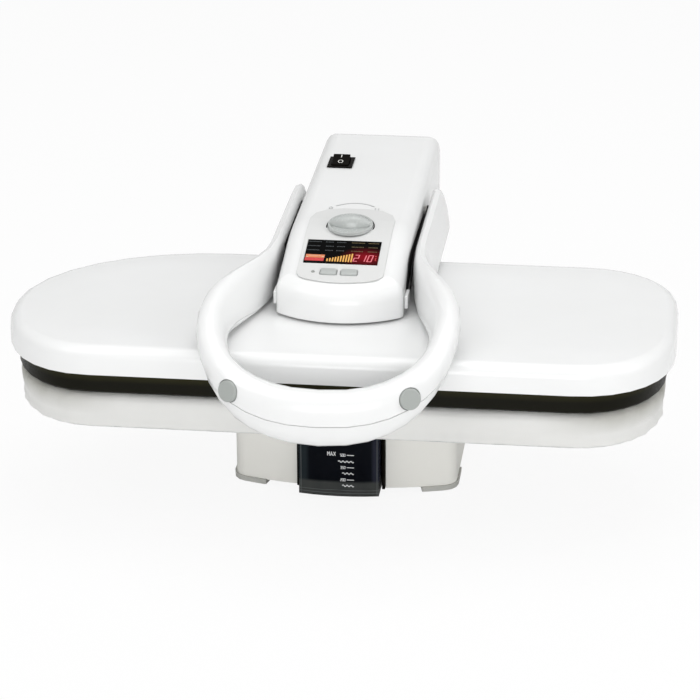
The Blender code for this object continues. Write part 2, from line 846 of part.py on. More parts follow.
def loft_open(name, rings, finish):
    """An open pan: rings of the inner rim and inner floor, then of the outside from below up."""
    count = len(rings[0])
    points = [p for ring in rings for p in ring]
    faces = []
    last = len(rings) - 1
    for low, high in [(0, 1)] + [(k, k + 1) for k in range(2, last)] + [(last, 0)]:
        for i in range(count):
            j = (i + 1) % count
            faces.append((low * count + i, low * count + j, high * count + j, high * count + i))
    faces += strip_cap(count, count, False)
    faces += strip_cap(2 * count, count, True)
    return from_faces(name, points, faces, finish)


def build_bezel():
    """Dark liner of the tank slot."""
    half = tank_half_width + slot_clearance
    top = tank_bottom + tank_height + slot_clearance
    start = base_front - clearance * 4
    end = start + bezel_depth + base_wall
    wide = half + bezel_width - clearance
    bezel = box("tank_bezel", (tank_centre_x - wide, start, base_bottom),
                (tank_centre_x + wide, end, top + bezel_width - clearance), gloss_black)
    cut(bezel, box("bezel_cutter", (tank_centre_x - half, start - overcut, 0),
                   (tank_centre_x + half, end + overcut, top), rubber))


def build_arm():
    rise = lambda drop: (lambda y: arm_top(y) - drop)
    rim = lambda y: skirt_bottom if y > skirt_front + arm_wall / 2 else arm_bottom
    profile = [(0, rim)]
    profile += [(inset, rise(drop)) for inset, drop in edge_rounds(arm_edge_radius, 4)]
    arm = cap_shell("arm_upper_shell", arm_plan, profile, arm_wall, gloss_white)
    return arm


def prism(name, outline, offset, finish):
    """Extrude any flat outline of points along an offset."""
    count = len(outline)
    points = list(outline) + [p + offset for p in outline]
    faces = [tuple(range(count))[::-1], tuple(range(count, 2 * count))]
    for i in range(count):
        j = (i + 1) % count
        faces.append((i, j, count + j, count + i))
    return from_faces(name, points, faces, finish)


def side_plate(name, outline, low_x, high_x, finish):
    """A sheet standing in the plane of the machine's side view, from (y, z) points."""
    return prism(name, [Vector((low_x, y, z)) for y, z in outline],
                 Vector((high_x - low_x, 0, 0)), finish)


def arc(centre_y, centre_z, radius, start, end, steps):
    """Side view points on an arc."""
    angles = [start + (end - start) * k / steps for k in range(steps + 1)]
    return [(centre_y + radius * cos(a), centre_z + radius * sin(a)) for a in angles]


def unite(part, other):
    """Fuse another solid into the part."""
    joined = part.modifiers.new("join_" + other.name, "BOOLEAN")
    joined.operation = "UNION"
    joined.solver = "EXACT"
    joined.object = as_cutter(other)
    return part


def build_arm_floor():
    """Lower shell: a floor under the arm and the front wall of the skirt round the column."""
    inset = arm_wall + clearance
    flat = [(x, y) for x, y in arm_plan(inset) if y < skirt_front - clearance]
    half = len(flat) // 2
    edge, back = arm_half_width - inset, skirt_front + arm_wall
    flat = flat[:half] + [(edge, back), (-edge, back)] + flat[half:]
    top = arm_bottom + arm_wall
    floor = loft("arm_lower_shell", [level(flat, arm_bottom), level(flat, top)], gloss_white)
    unite(floor, box("skirt_wall", (-edge, skirt_front, skirt_bottom), (edge, back, top),
                     gloss_white))
    cut(floor, box("mount_cutter",
                   (-mount_half_width - clearance, mount_front - clearance, arm_bottom - overcut),
                   (mount_half_width + clearance, mount_back + clearance, top + overcut), rubber))


def build_frame():
    """Steel channel of the arm: a web, and two side flanges with lugs for both shafts."""
    front, back = plate_front + frame_front, hinge_y + frame_behind_hinge
    web = box("arm_frame", (-flange_x, front, frame_bottom),
              (flange_x, back, frame_bottom + steel), zinc_sheet)
    top = frame_bottom + frame_flange
    ear = handle_pin_radius + 2 * steel
    outline = [(front, frame_bottom), (hinge_y - lug_radius, frame_bottom)]
    outline += arc(hinge_y, hinge_height, lug_radius, pi, 2 * pi, 8)
    outline += [(hinge_y + lug_radius, frame_bottom), (back, frame_bottom), (back, top),
                (handle_pivot_y + 2 * ear, top)]
    outline += arc(handle_pivot_y, leg_height, ear, ear_rise, pi - ear_rise, 6)
    outline += [(handle_pivot_y - 2 * ear, top), (front, top)]
    for side, low in (("right", flange_x - steel), ("left", -flange_x)):
        unite(web, side_plate("flange_" + side, outline, low, low + steel, zinc_sheet))
    reach = flange_x + overcut
    cut(web, turned("lug_cutter", disc_profile(hinge_radius + clearance, -reach, reach), rubber,
                    20, (0, hinge_y, hinge_height), (1, 0, 0)))
    cut(web, turned("ear_cutter", disc_profile(handle_pin_radius + clearance, -reach, reach),
                    rubber, 20, (0, handle_pivot_y, leg_height), (1, 0, 0)))
    box("plate_mount", (-mount_half_width, mount_front, cover_top + cover_crown + clearance),
        (mount_half_width, mount_back, frame_bottom - clearance), zinc_sheet, steel / 4)


def build_column():
    """Rear column with its steel lugs, the hinge shaft, bushes and lifting springs."""
    plan = lambda inset: bowed_plan(inset, column_half_width, column_front, column_back,
                                    base_bulge_radius, column_radius, column_radius,
                                    [hinge_y - lug_radius, hinge_y])
    bottom = base_top + clearance
    profile = [(0, bottom), (0, column_top - column_edge_radius)]
    profile += [(i, column_top - drop) for i, drop in edge_rounds(column_edge_radius, 3)[1:]]
    cover = cap_shell("column_cover", plan, profile, column_wall, satin_white)
    reach = column_half_width + overcut
    cut(cover, turned("column_bore", disc_profile(hinge_radius + clearance, -reach, reach), rubber,
                      20, (0, hinge_y, hinge_height), (1, 0, 0)))
    foot = bottom + clearance
    outer = column_plate_x + steel
    sill = box("column_frame", (-outer, hinge_y - column_plate_run / 2 - steel, foot),
               (outer, hinge_y + column_plate_run / 2 - steel, foot + steel), zinc_sheet)
    outline = [(hinge_y - column_plate_run / 2, foot)]
    outline += [(hinge_y + column_plate_run / 2 - steel, foot)]
    outline += arc(hinge_y, hinge_height, lug_radius, 0, pi, 8)
    for side, low in (("right", column_plate_x), ("left", -outer)):
        unite(sill, side_plate("lug_plate_" + side, outline, low, low + steel, zinc_sheet))
    cut(sill, turned("bush_cutter", disc_profile(hinge_radius + bush_wall + 2 * clearance, -reach,
                                                 reach), rubber, 20,
                     (0, hinge_y, hinge_height), (1, 0, 0)))
    shaft = flange_x - clearance
    turned("hinge_shaft", disc_profile(hinge_radius, -shaft, shaft), steel_finish, 20,
           (0, hinge_y, hinge_height), (1, 0, 0))
    bore = hinge_radius + clearance
    for side, sign in (("right", 1), ("left", -1)):
        inner = column_plate_x - bush_flange - clearance
        profile = ((bore, 0), (bore + bush_wall + bush_flange, 0),
                   (bore + bush_wall + bush_flange, bush_flange), (bore + bush_wall, bush_flange),
                   (bore + bush_wall, bush_flange + steel + clearance),
                   (bore, bush_flange + steel + clearance))
        turned("hinge_bush_" + side, profile, nylon, 20,
               (sign * inner, hinge_y, hinge_height), (sign, 0, 0))
        build_spring("lift_spring_" + side, sign)
        cut(cover, box("spring_slot_" + side,
                       (sign * spring_offset - 3 * spring_wire,
                        hinge_y - lug_radius - spring_wire * 3,
                        hinge_height + column_above_hinge / 2),
                       (sign * spring_offset + 3 * spring_wire, hinge_y + lug_radius,
                        column_top + overcut), rubber))


def build_spring(name, sign):
    """Torsion spring wound round the hinge shaft, one leg up to the arm, one down to the sill."""
    coil = hinge_radius + spring_clearance + spring_wire
    path = []
    total = spring_turns * spring_steps + spring_steps // 2
    for k in range(total + 1):
        angle = spring_start + 2 * pi * k / spring_steps
        x = sign * (spring_offset + spring_pitch * k / spring_steps)
        path.append(Vector((x, hinge_y + coil * cos(angle), hinge_height + coil * sin(angle))))
    start, end = path[0], path[-1]
    rise = frame_bottom - clearance * 2 - spring_wire - start.z
    up = start + Vector((0, -rise * tan(spring_lean), rise))
    rest = base_top + steel + 2 * clearance + 3 * spring_wire / 2
    down = Vector((end.x, end.y - spring_wire, rest))
    tube(name, [up] + path + [down], spring_wire, 5, steel_finish)


def superellipse(half_thickness, half_height, angle, power):
    """Point of a rounded section: out to the side, and up."""
    c, s = cos(angle), sin(angle)
    out = half_thickness * abs(c) ** (2 / power) * (1 if c >= 0 else -1)
    up = half_height * abs(s) ** (2 / power) * (1 if s >= 0 else -1)
    return out, up


def smooth(share):
    share = min(max(share, 0.0), 1.0)
    return share * share * (3 - 2 * share)


def mix(first, last, share):
    return first + (last - first) * share


def lean_reach(half_thickness, half_height, lean):
    """How far a leaning section reaches to its outer side."""
    spots = [superellipse(half_thickness, half_height, radians(k), handle_power)
             for k in range(-90, 91)]
    return max(out * cos(lean) + up * sin(lean) for out, up in spots)


def depth_for(drop, half_thickness, lean, power):
    """Lower half height of a leaning section whose lowest point lies a drop under its centre."""
    dual = power / (power - 1)
    across = half_thickness * abs(sin(lean))
    return (drop ** dual - across ** dual) ** (1 / dual) / cos(lean)


def looked_up(table, place):
    """Value between the rows of a table."""
    for (low, first), (high, last) in zip(table, table[1:]):
        if place <= high:
            return mix(first, last, (place - low) / (high - low))
    return table[-1][1]


def ring_station(angle):
    """Section of the tilted loop at an angle from the front middle: centre, side and sizes."""
    depth = ring_y + press_depth / 2 - lean_reach(grip_half_thickness, grip_half_height, grip_lean)
    s, c = sin(angle), max(cos(angle), 0)
    x, y = ring_rx * s ** (2 / ring_power), ring_y - depth * c ** (2 / ring_power)
    bend = 2 - 2 / ring_power
    side = Vector((s ** bend / ring_rx, -c ** bend / depth)).normalized()
    share = 1 - c ** rise_power
    return (Vector((x, y, mix(grip_height, side_height, share))), side,
            mix(grip_half_thickness, side_half_thickness, share),
            mix(grip_half_height, side_half_height, share),
            grip_half_height * looked_up(ring_low_shares, angle),
            mix(grip_lean, side_lean, share), 0.0, 0.0, handle_power,
            mix(handle_power, shoulder_low_power, share))


def handle_half():
    """Sections from the front middle round the right side to the tip of the right leg."""
    stations = [ring_station(pi / 2 * k / ring_steps) for k in range(ring_steps + 1)]
    first, last = Vector((ring_rx, ring_y)), Vector((leg_x, plate_front + leg_start))
    lead, tail = Vector((0, shoulder_lead)), Vector((0, shoulder_tail))
    for k in range(1, shoulder_steps + 1):
        u = k / shoulder_steps
        a, b, c, d = first, first + lead, last - tail, last
        spot = a * (1 - u) ** 3 + b * 3 * u * (1 - u) ** 2 + c * 3 * u * u * (1 - u) + d * u ** 3
        along = (b - a) * (1 - u) ** 2 + (c - b) * 2 * u * (1 - u) + (d - c) * u * u
        side = Vector((along.y, -along.x)).normalized()
        share = smooth(u)
        height = mix(side_height, leg_height, share) + shoulder_climb * u * (1 - u) ** 2
        thick = mix(side_half_thickness, leg_half_thickness, share)
        lean = mix(side_lean, leg_lean, share)
        stations.append((Vector((spot.x, spot.y, height)), side, thick,
                         mix(side_half_height, leg_half_height, share),
                         depth_for(height - shoulder_bottom, thick, lean, shoulder_low_power),
                         lean, leg_taper_share * share, leg_parting * share,
                         mix(handle_power, leg_power, share), shoulder_low_power))
    side = Vector((1, 0))
    deep = depth_for(leg_height - shoulder_bottom, leg_half_thickness, leg_lean, shoulder_low_power)
    for k in range(1, leg_steps + 1):
        y = plate_front + mix(leg_start, leg_end, k / leg_steps)
        stations.append((Vector((leg_x, y, leg_height)), side, leg_half_thickness,
                         leg_half_height, deep, leg_lean, leg_taper_share, leg_parting,
                         leg_power, shoulder_low_power))
    for k in range(1, tip_steps + 1):
        turn = pi / 2 * k / (tip_steps + tip_blunt_share)
        y = plate_front + leg_end + tip_length * sin(turn)
        x = leg_x - leg_half_thickness * (1 - cos(turn)) * tip_inset_share
        height = leg_height - leg_half_height * (1 - cos(turn)) * tip_drop_share
        stations.append((Vector((x, y, height)), side,
                         leg_half_thickness * mix(cos(turn), 1, tip_thickness_share),
                         leg_half_height * cos(turn), deep * cos(turn), leg_lean,
                         leg_taper_share, leg_parting, mix(handle_power, leg_power, cos(turn)),
                         mix(handle_power, shoulder_low_power, cos(turn))))
    return stations


def mirrored(station):
    centre, side, *sizes = station
    return (Vector((-centre.x, centre.y, centre.z)), Vector((-side.x, side.y)), *sizes)


def handle_shell(name, upper, finish):
    """One half of the hollow loop: its section above or below the parting line, with a wall."""
    right = handle_half()
    rings = []
    seam = asin(clearance / side_half_height)
    for centre, side, thick, high, deep, lean, taper, parting, high_power, low_power in \
            [mirrored(s) for s in right[:0:-1]] + right:
        inside = pi - parting + inner_parting_drop
        start, end = (parting, inside) if upper else (inside + 3 * seam, 2 * pi + parting - seam)
        steps = shell_steps
        section = []
        for inner in (False, True):
            wide = max(thick - handle_wall, thick / 3) if inner else thick
            row = []
            for k in range(steps + 1):
                angle = start + (end - start) * k / steps
                tall, power = (high, high_power) if sin(angle) > 0 else (deep, low_power)
                tall = max(tall - handle_wall, tall / 3) if inner else tall
                out, up = superellipse(wide, tall, angle, power)
                out *= 1 - taper * sin(angle)
                away = out * cos(lean) + up * sin(lean)
                rise = up * cos(lean) - out * sin(lean)
                row.append(centre + Vector((side.x * away, side.y * away, rise)))
            section += row[::-1] if inner else row
        rings.append(section)
    return loft(name, rings, finish)


def button_frame(sign):
    """Centre of the grip at a steam button and the direction that the button faces."""
    centre, side, thick = ring_station(steam_button_turn)[:3]
    face = Vector((side.x * cos(steam_button_tilt), side.y * cos(steam_button_tilt),
                   sin(steam_button_tilt)))
    spot = centre + Vector((0, 0, steam_button_rise)) + face * thick
    if sign < 0:
        spot.x, face.x = -spot.x, -face.x
    return spot, face


def build_handle():
    upper = handle_shell("handle_upper_shell", True, gloss_white)
    lower = handle_shell("handle_lower_shell", False, gloss_white)
    reach = leg_x
    cut(upper, turned("pin_cutter", disc_profile(handle_pin_radius + clearance, -reach, reach),
                      rubber, 20, (0, handle_pivot_y, leg_height), (1, 0, 0)))
    pin = arm_half_width + leg_gap + handle_pin_depth
    turned("handle_shaft", disc_profile(handle_pin_radius, -pin, pin), steel_finish, 20,
           (0, handle_pivot_y, leg_height), (1, 0, 0))
    bore = handle_pin_radius + clearance
    wall_low, wall_high = arm_half_width - arm_wall, arm_half_width + leg_gap - 2 * clearance
    shell = bpy.data.objects["arm_upper_shell"]
    cut(shell, turned("arm_pin_cutter", disc_profile(bore + bush_wall + clearance,
                                                     -arm_half_width - overcut,
                                                     arm_half_width + overcut), rubber, 20,
                      (0, handle_pivot_y, leg_height), (1, 0, 0)))
    for side, sign in (("right", 1), ("left", -1)):
        turned("handle_bush_" + side, tube_profile(bore, bore + bush_wall, wall_low + clearance,
                                                   wall_high), nylon, 20,
               (0, handle_pivot_y, leg_height), (sign, 0, 0))
        spot, face = button_frame(sign)
        base = spot + face * (steam_button_proud - steam_button_depth)
        edge = steam_button_radius / 6
        turned("steam_button_" + side,
               ((0, 0), (steam_button_radius, 0), (steam_button_radius, steam_button_depth - edge),
                (steam_button_radius - edge / 3, steam_button_depth - edge / 3),
                (steam_button_radius - edge, steam_button_depth), (0, steam_button_depth)),
               light_grey, 28, base, face)
        hole = disc_profile(steam_button_radius + steam_button_clearance,
                            -steam_button_travel - edge, steam_button_depth + overcut)
        for part in (upper, lower):
            cut(part, turned("button_cutter_%s_%s" % (side, part.name), hole, rubber, 28, base,
                             face))
        stop_low = arm_half_width + clearance
        box("handle_stop_" + side,
            (min(sign * stop_low, sign * (stop_low + stop_width)), plate_front + stop_setback,
             arm_bottom + stop_lift),
            (max(sign * stop_low, sign * (stop_low + stop_width)),
             plate_front + stop_setback + stop_length, arm_bottom + stop_lift + stop_height),
            gloss_white, stop_rounding)


def panel_place(x, along, height=0.0):
    """Point on the flat front part of the arm's crown."""
    start = Vector((x, arm_front + panel_start, panel_start_height))
    return start + Vector((0, cos(panel_slope), sin(panel_slope))) * along \
        + Vector((0, -sin(panel_slope), cos(panel_slope))) * height


def panel_box(name, low_x, high_x, low_s, high_s, low_h, high_h, finish, bevel=0.0):
    """Box square to the sloped panel."""
    part = box(name, (low_x, low_s, low_h), (high_x, high_s, high_h), finish, bevel)
    turn = Matrix.Rotation(panel_slope, 4, "X")
    part.data.transform(Matrix.Translation(panel_place(0, 0)) @ turn)
    return part


def panel_plan(inset):
    start = arm_front + panel_setback
    stations = [start + panel_length * k / panel_steps for k in range(2, panel_steps - 1)]
    return bowed_plan(inset, panel_half_width, start, start + panel_length, panel_bulge_radius,
                      panel_corner, panel_back_radius, stations)


def build_panel():
    """Control panel with its window, two keys, a lamp and the steam dial."""
    rise = lambda height: (lambda y: arm_top(y) + height)
    low, high = clearance, clearance + panel_thickness
    panel = loft("control_panel", [level(panel_plan(0), rise(low)),
                                   level(panel_plan(0), rise(high))], gloss_white)
    shell = bpy.data.objects["arm_upper_shell"]
    x, half = display_centre_x, display_half_width
    cut(panel, panel_box("window_cutter", x - half - clearance, x + half + clearance,
                         display_setback - clearance, display_setback + display_length + clearance,
                         -overcut, overcut, rubber))
    panel_box("display_window", x - half, x + half, display_setback,
              display_setback + display_length, low, high + display_frame, gloss_black,
              display_frame)
    deep = -arm_wall - clearance
    wide = panel_half_width - display_board_inset
    panel_box("display_board", -wide, wide, button_setback - button_half_length,
              display_setback + display_length, deep - board_thickness, deep, circuit_green)
    for index, name in enumerate(("mode_button", "set_button")):
        x = button_first_x + button_pitch * index
        panel_box(name, x - button_half_width, x + button_half_width,
                  button_setback - button_half_length, button_setback + button_half_length,
                  deep + button_travel + 2 * clearance, high + button_height, light_grey,
                  button_rounding)
        for part in (panel, shell):
            cut(part, panel_box(name + "_cutter_" + part.name,
                                x - button_half_width - button_clearance,
                                x + button_half_width + button_clearance,
                                button_setback - button_half_length - button_clearance,
                                button_setback + button_half_length + button_clearance,
                                -overcut, overcut, rubber, button_rounding))
    normal = Vector((0, -sin(panel_slope), cos(panel_slope)))
    lamp = panel_place(lamp_x, button_setback)
    turned("status_lamp", disc_profile(lamp_radius, low, high + lamp_height), lamp_clear, 12, lamp,
           normal)
    cut(panel, turned("lamp_cutter", disc_profile(lamp_radius + clearance, -overcut, overcut),
                      rubber, 12, lamp, normal))
    build_knob(panel, shell)


def build_knob(panel, shell):
    """Dial with a dished top and a finger ridge across it, on its own shaft."""
    centre_y = arm_front + knob_setback
    slope = arm_slope(centre_y)
    seat = Vector((0, centre_y, arm_top(centre_y)))
    axis = Vector((0, -sin(slope), cos(slope)))
    base = clearance + panel_thickness + 2 * clearance
    top, floor = base + knob_height, base + knob_height - knob_dish
    knob = turned("steam_knob", ((0, base), (knob_radius, base),
                                 (knob_radius, top - knob_rim / 4),
                                 (knob_radius - knob_rim / 4, top), (knob_radius - knob_rim, top),
                                 (knob_radius - knob_rim - knob_dish, floor), (0, floor)),
                  light_grey, 36, seat, axis)
    turn = Vector((0, 0, 1)).rotation_difference(axis).to_matrix().to_4x4()
    rings = []
    reach, low = knob_radius - knob_rim, base + knob_dish / 4
    for k in range(knob_ridge_steps + 1):
        share = -cos(pi * k / knob_ridge_steps)
        bulge = mix(knob_ridge_end_share, 1, 1 - share * share)
        wide = knob_ridge_half_width * bulge
        high = top + knob_ridge_height * bulge
        right = [(wide * across, mix(low, high, up)) for across, up in knob_ridge_shares]
        section = right + [(-across, up) for across, up in right[::-1]]
        rings.append([seat + turn @ Vector((reach * share, y, z)) for y, z in section])
    unite(knob, loft("knob_ridge", rings, light_grey))
    turned("knob_shaft", disc_profile(knob_pin_radius, base - clearance - knob_pin_length,
                                      base - clearance), steel_finish, 16, seat, axis)
    for part in (panel, shell):
        cut(part, turned("knob_cutter_" + part.name,
                         disc_profile(knob_pin_radius + knob_clearance, -overcut, overcut),
                         rubber, 16, seat, axis))
    foot = base - clearance - knob_pin_length
    turned("knob_sensor", tube_profile(knob_pin_radius + clearance, knob_sensor_radius,
                                       foot + 2 * clearance, -arm_wall - clearance),
           zinc_sheet, 16, seat, axis)


def build_switch():
    """Rocker switch in the arm's crown: a framed housing and a tilted rocker."""
    centre_y = arm_back - switch_from_back
    slope = arm_slope(centre_y)
    seat = Matrix.Translation((switch_x, centre_y, arm_top(centre_y))) \
        @ Matrix.Rotation(slope, 4, "X")

    def place(part):
        part.data.transform(seat)
        return part

    wide, long = switch_half_width, switch_half_length
    in_wide, in_long = wide - switch_frame, long - switch_frame
    shell = bpy.data.objects["arm_upper_shell"]
    cut(shell, place(box("switch_hole", (-in_wide - clearance, -in_long - clearance, -overcut * 2),
                         (in_wide + clearance, in_long + clearance, overcut), rubber)))
    housing = place(box("switch_housing", (-wide, -long, clearance),
                        (wide, long, clearance + switch_flange), gloss_black, switch_flange / 4))
    unite(housing, place(box("switch_body", (-in_wide, -in_long, -switch_body_depth),
                             (in_wide, in_long, clearance + switch_flange / 2), gloss_black)))
    wall = switch_frame / 2
    pocket_x, pocket_y = in_wide - wall, in_long - wall
    cut(housing, place(box("rocker_pocket", (-pocket_x, -pocket_y, -rocker_pocket_depth),
                           (pocket_x, pocket_y, overcut), rubber)))
    half = pocket_x - rocker_clearance
    reach = pocket_y - 2 * rocker_clearance
    flat = clearance + switch_flange
    end, crest = reach * rocker_end_share, flat + rocker_rise
    profile = ((-reach, -rocker_depth / 3), (reach, -rocker_depth / 3),
               (reach, crest - rocker_rise / 3), (end, crest), (0, flat), (-end, crest),
               (-reach, crest - rocker_rise / 3))
    rocker = prism("power_rocker", [Vector((-half, y, z)) for y, z in profile],
                   Vector((2 * half, 0, 0)), gloss_black)
    rocker.data.transform(Matrix.Rotation(rocker_tilt, 4, "X"))
    place(rocker)


def build_tank_cap():
    high = tank_bottom + tank_height
    low, radius = high - tank_lid_height, tank_cap_radius - clearance
    turned("tank_cap", ((0, low), (radius, low), (radius, high - tank_cap_chamfer),
                        (radius - tank_cap_chamfer, high), (0, high)), light_grey, 24,
           (tank_centre_x, base_front - tank_proud + tank_length / 2, 0))


def build_inner_units():
    """Pump, its foot and the relay board inside the base, and the inlet in the back wall."""
    floor = base_bottom + floor_thickness + clearance
    y = plate_front + pump_setback
    low = floor + pump_foot + clearance
    neck = pump_radius * pump_neck_share
    turned("water_pump", ((0, 0), (neck, 0), (neck, pump_neck_length),
                          (pump_radius, pump_neck_length), (pump_radius, pump_length),
                          (0, pump_length)), gloss_black, 20,
           (pump_x, y, low + pump_radius), (0, 1, 0))
    near, far = (y + pump_length * share for share in pump_foot_shares)
    box("pump_foot", (pump_x - pump_radius, near, floor),
        (pump_x + pump_radius, far, low - clearance), rubber, pump_foot / 5)
    start = plate_front + relay_board_setback
    box("relay_board", (relay_board_x - relay_board_width / 2, start, floor),
        (relay_board_x + relay_board_width / 2, start + relay_board_length,
         floor + board_thickness), circuit_green)
    reach = base_wall + 2 * inlet_flange_depth
    bore, neck, rim = (inlet_radius * inlet_bore_share, inlet_radius - clearance,
                       inlet_radius + inlet_flange)
    turned("cord_inlet", ((bore, -reach), (neck, -reach), (neck, clearance), (rim, clearance),
                          (rim, inlet_flange_depth), (bore, inlet_flange_depth)), rubber, 20,
           (inlet_x, base_back, base_bottom + inlet_height), (0, 1, 0))
    screw_face = screw_radius * screw_face_share
    for index, (share_x, share_y) in enumerate(screw_place_shares):
        spot = (base_half_width * share_x, mix(base_front, base_back, share_y),
                base_bottom - clearance - screw_height)
        turned("floor_screw_%d" % (index + 1), ((0, 0), (screw_face, 0),
                                                (screw_radius, screw_height / 2),
                                                (screw_radius, screw_height), (0, screw_height)),
               steel_finish, 10, spot)


build_base()
build_board()
build_plate()
build_tank()
build_tank_cap()
build_arm()
build_arm_floor()
build_frame()
build_column()
build_handle()
build_panel()
build_switch()
build_inner_units()
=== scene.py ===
import json
from math import atan2, cos, hypot, pi, radians, sin

import bmesh
import bpy
import numpy as np
from mathutils import Matrix, Vector, noise
from mathutils.bvhtree import BVHTree

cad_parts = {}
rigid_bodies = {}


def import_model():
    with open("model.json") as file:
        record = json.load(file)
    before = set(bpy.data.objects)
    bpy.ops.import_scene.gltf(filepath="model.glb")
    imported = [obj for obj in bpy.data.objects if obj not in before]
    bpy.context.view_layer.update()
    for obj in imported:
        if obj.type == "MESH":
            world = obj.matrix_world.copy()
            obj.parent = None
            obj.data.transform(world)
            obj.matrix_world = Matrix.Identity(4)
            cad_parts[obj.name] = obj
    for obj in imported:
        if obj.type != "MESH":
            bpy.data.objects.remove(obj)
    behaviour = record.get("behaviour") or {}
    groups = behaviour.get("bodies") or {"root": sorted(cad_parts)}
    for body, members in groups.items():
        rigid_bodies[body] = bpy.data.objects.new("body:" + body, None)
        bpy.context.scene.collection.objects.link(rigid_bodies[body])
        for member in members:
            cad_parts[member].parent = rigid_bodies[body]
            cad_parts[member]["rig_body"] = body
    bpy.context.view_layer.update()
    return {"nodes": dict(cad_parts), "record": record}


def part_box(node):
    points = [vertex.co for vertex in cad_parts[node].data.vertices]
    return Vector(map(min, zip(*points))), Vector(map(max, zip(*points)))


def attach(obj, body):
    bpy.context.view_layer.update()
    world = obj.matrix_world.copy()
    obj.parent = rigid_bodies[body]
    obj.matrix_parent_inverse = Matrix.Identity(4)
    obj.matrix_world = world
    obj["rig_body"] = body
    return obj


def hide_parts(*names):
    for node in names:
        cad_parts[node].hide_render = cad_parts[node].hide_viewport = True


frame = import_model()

scene = bpy.context.scene
mm = 0.001

# Plan of the board, repeated from the source. Each corner: how far it runs and how deep it is in
# millimetres, which way it points, and the power of its superellipse
plate_half = 326 * mm
plate_front, plate_back = -210 * mm, 70 * mm
corners = (((98, 125), (-1, -1), 2.15), ((97, 112), (1, -1), 2.15),
           ((96, 96), (1, 1), 2.15), ((197, 155), (-1, 1), 2.0))
board_inset = 7 * mm
outline_steps = 24

# Panel plane, its two directions and its middle under the dial
panel_up = Vector((0, -0.21644, 0.976296))
panel_along = Vector((0, 0.976296, 0.21644))
panel_seat = Vector((0, -0.0155, 0.256127))


def camera():
    """Where the photograph was taken from."""
    azimuth, elevation, roll = radians(7.05), radians(22.08), radians(-0.19)
    target, distance = Vector((10.8, -110, 163.9)) * mm, 2917 * mm
    frame_pixels, focal_pixels, sensor = 700, 3000, 36
    back = Vector((sin(azimuth) * cos(elevation), -cos(azimuth) * cos(elevation), sin(elevation)))
    right = Vector((0, 0, 1)).cross(back).normalized()
    up = back.cross(right)
    across = right * cos(roll) + up * sin(roll)
    above = up * cos(roll) - right * sin(roll)
    data = bpy.data.cameras.new("view")
    data.sensor_width = sensor
    data.lens = focal_pixels * sensor / frame_pixels
    data.clip_end = 50
    made = bpy.data.objects.new("view", data)
    turn = Matrix((across, above, back)).transposed().to_4x4()
    made.matrix_world = Matrix.Translation(target + back * distance) @ turn
    scene.collection.objects.link(made)
    scene.camera = made


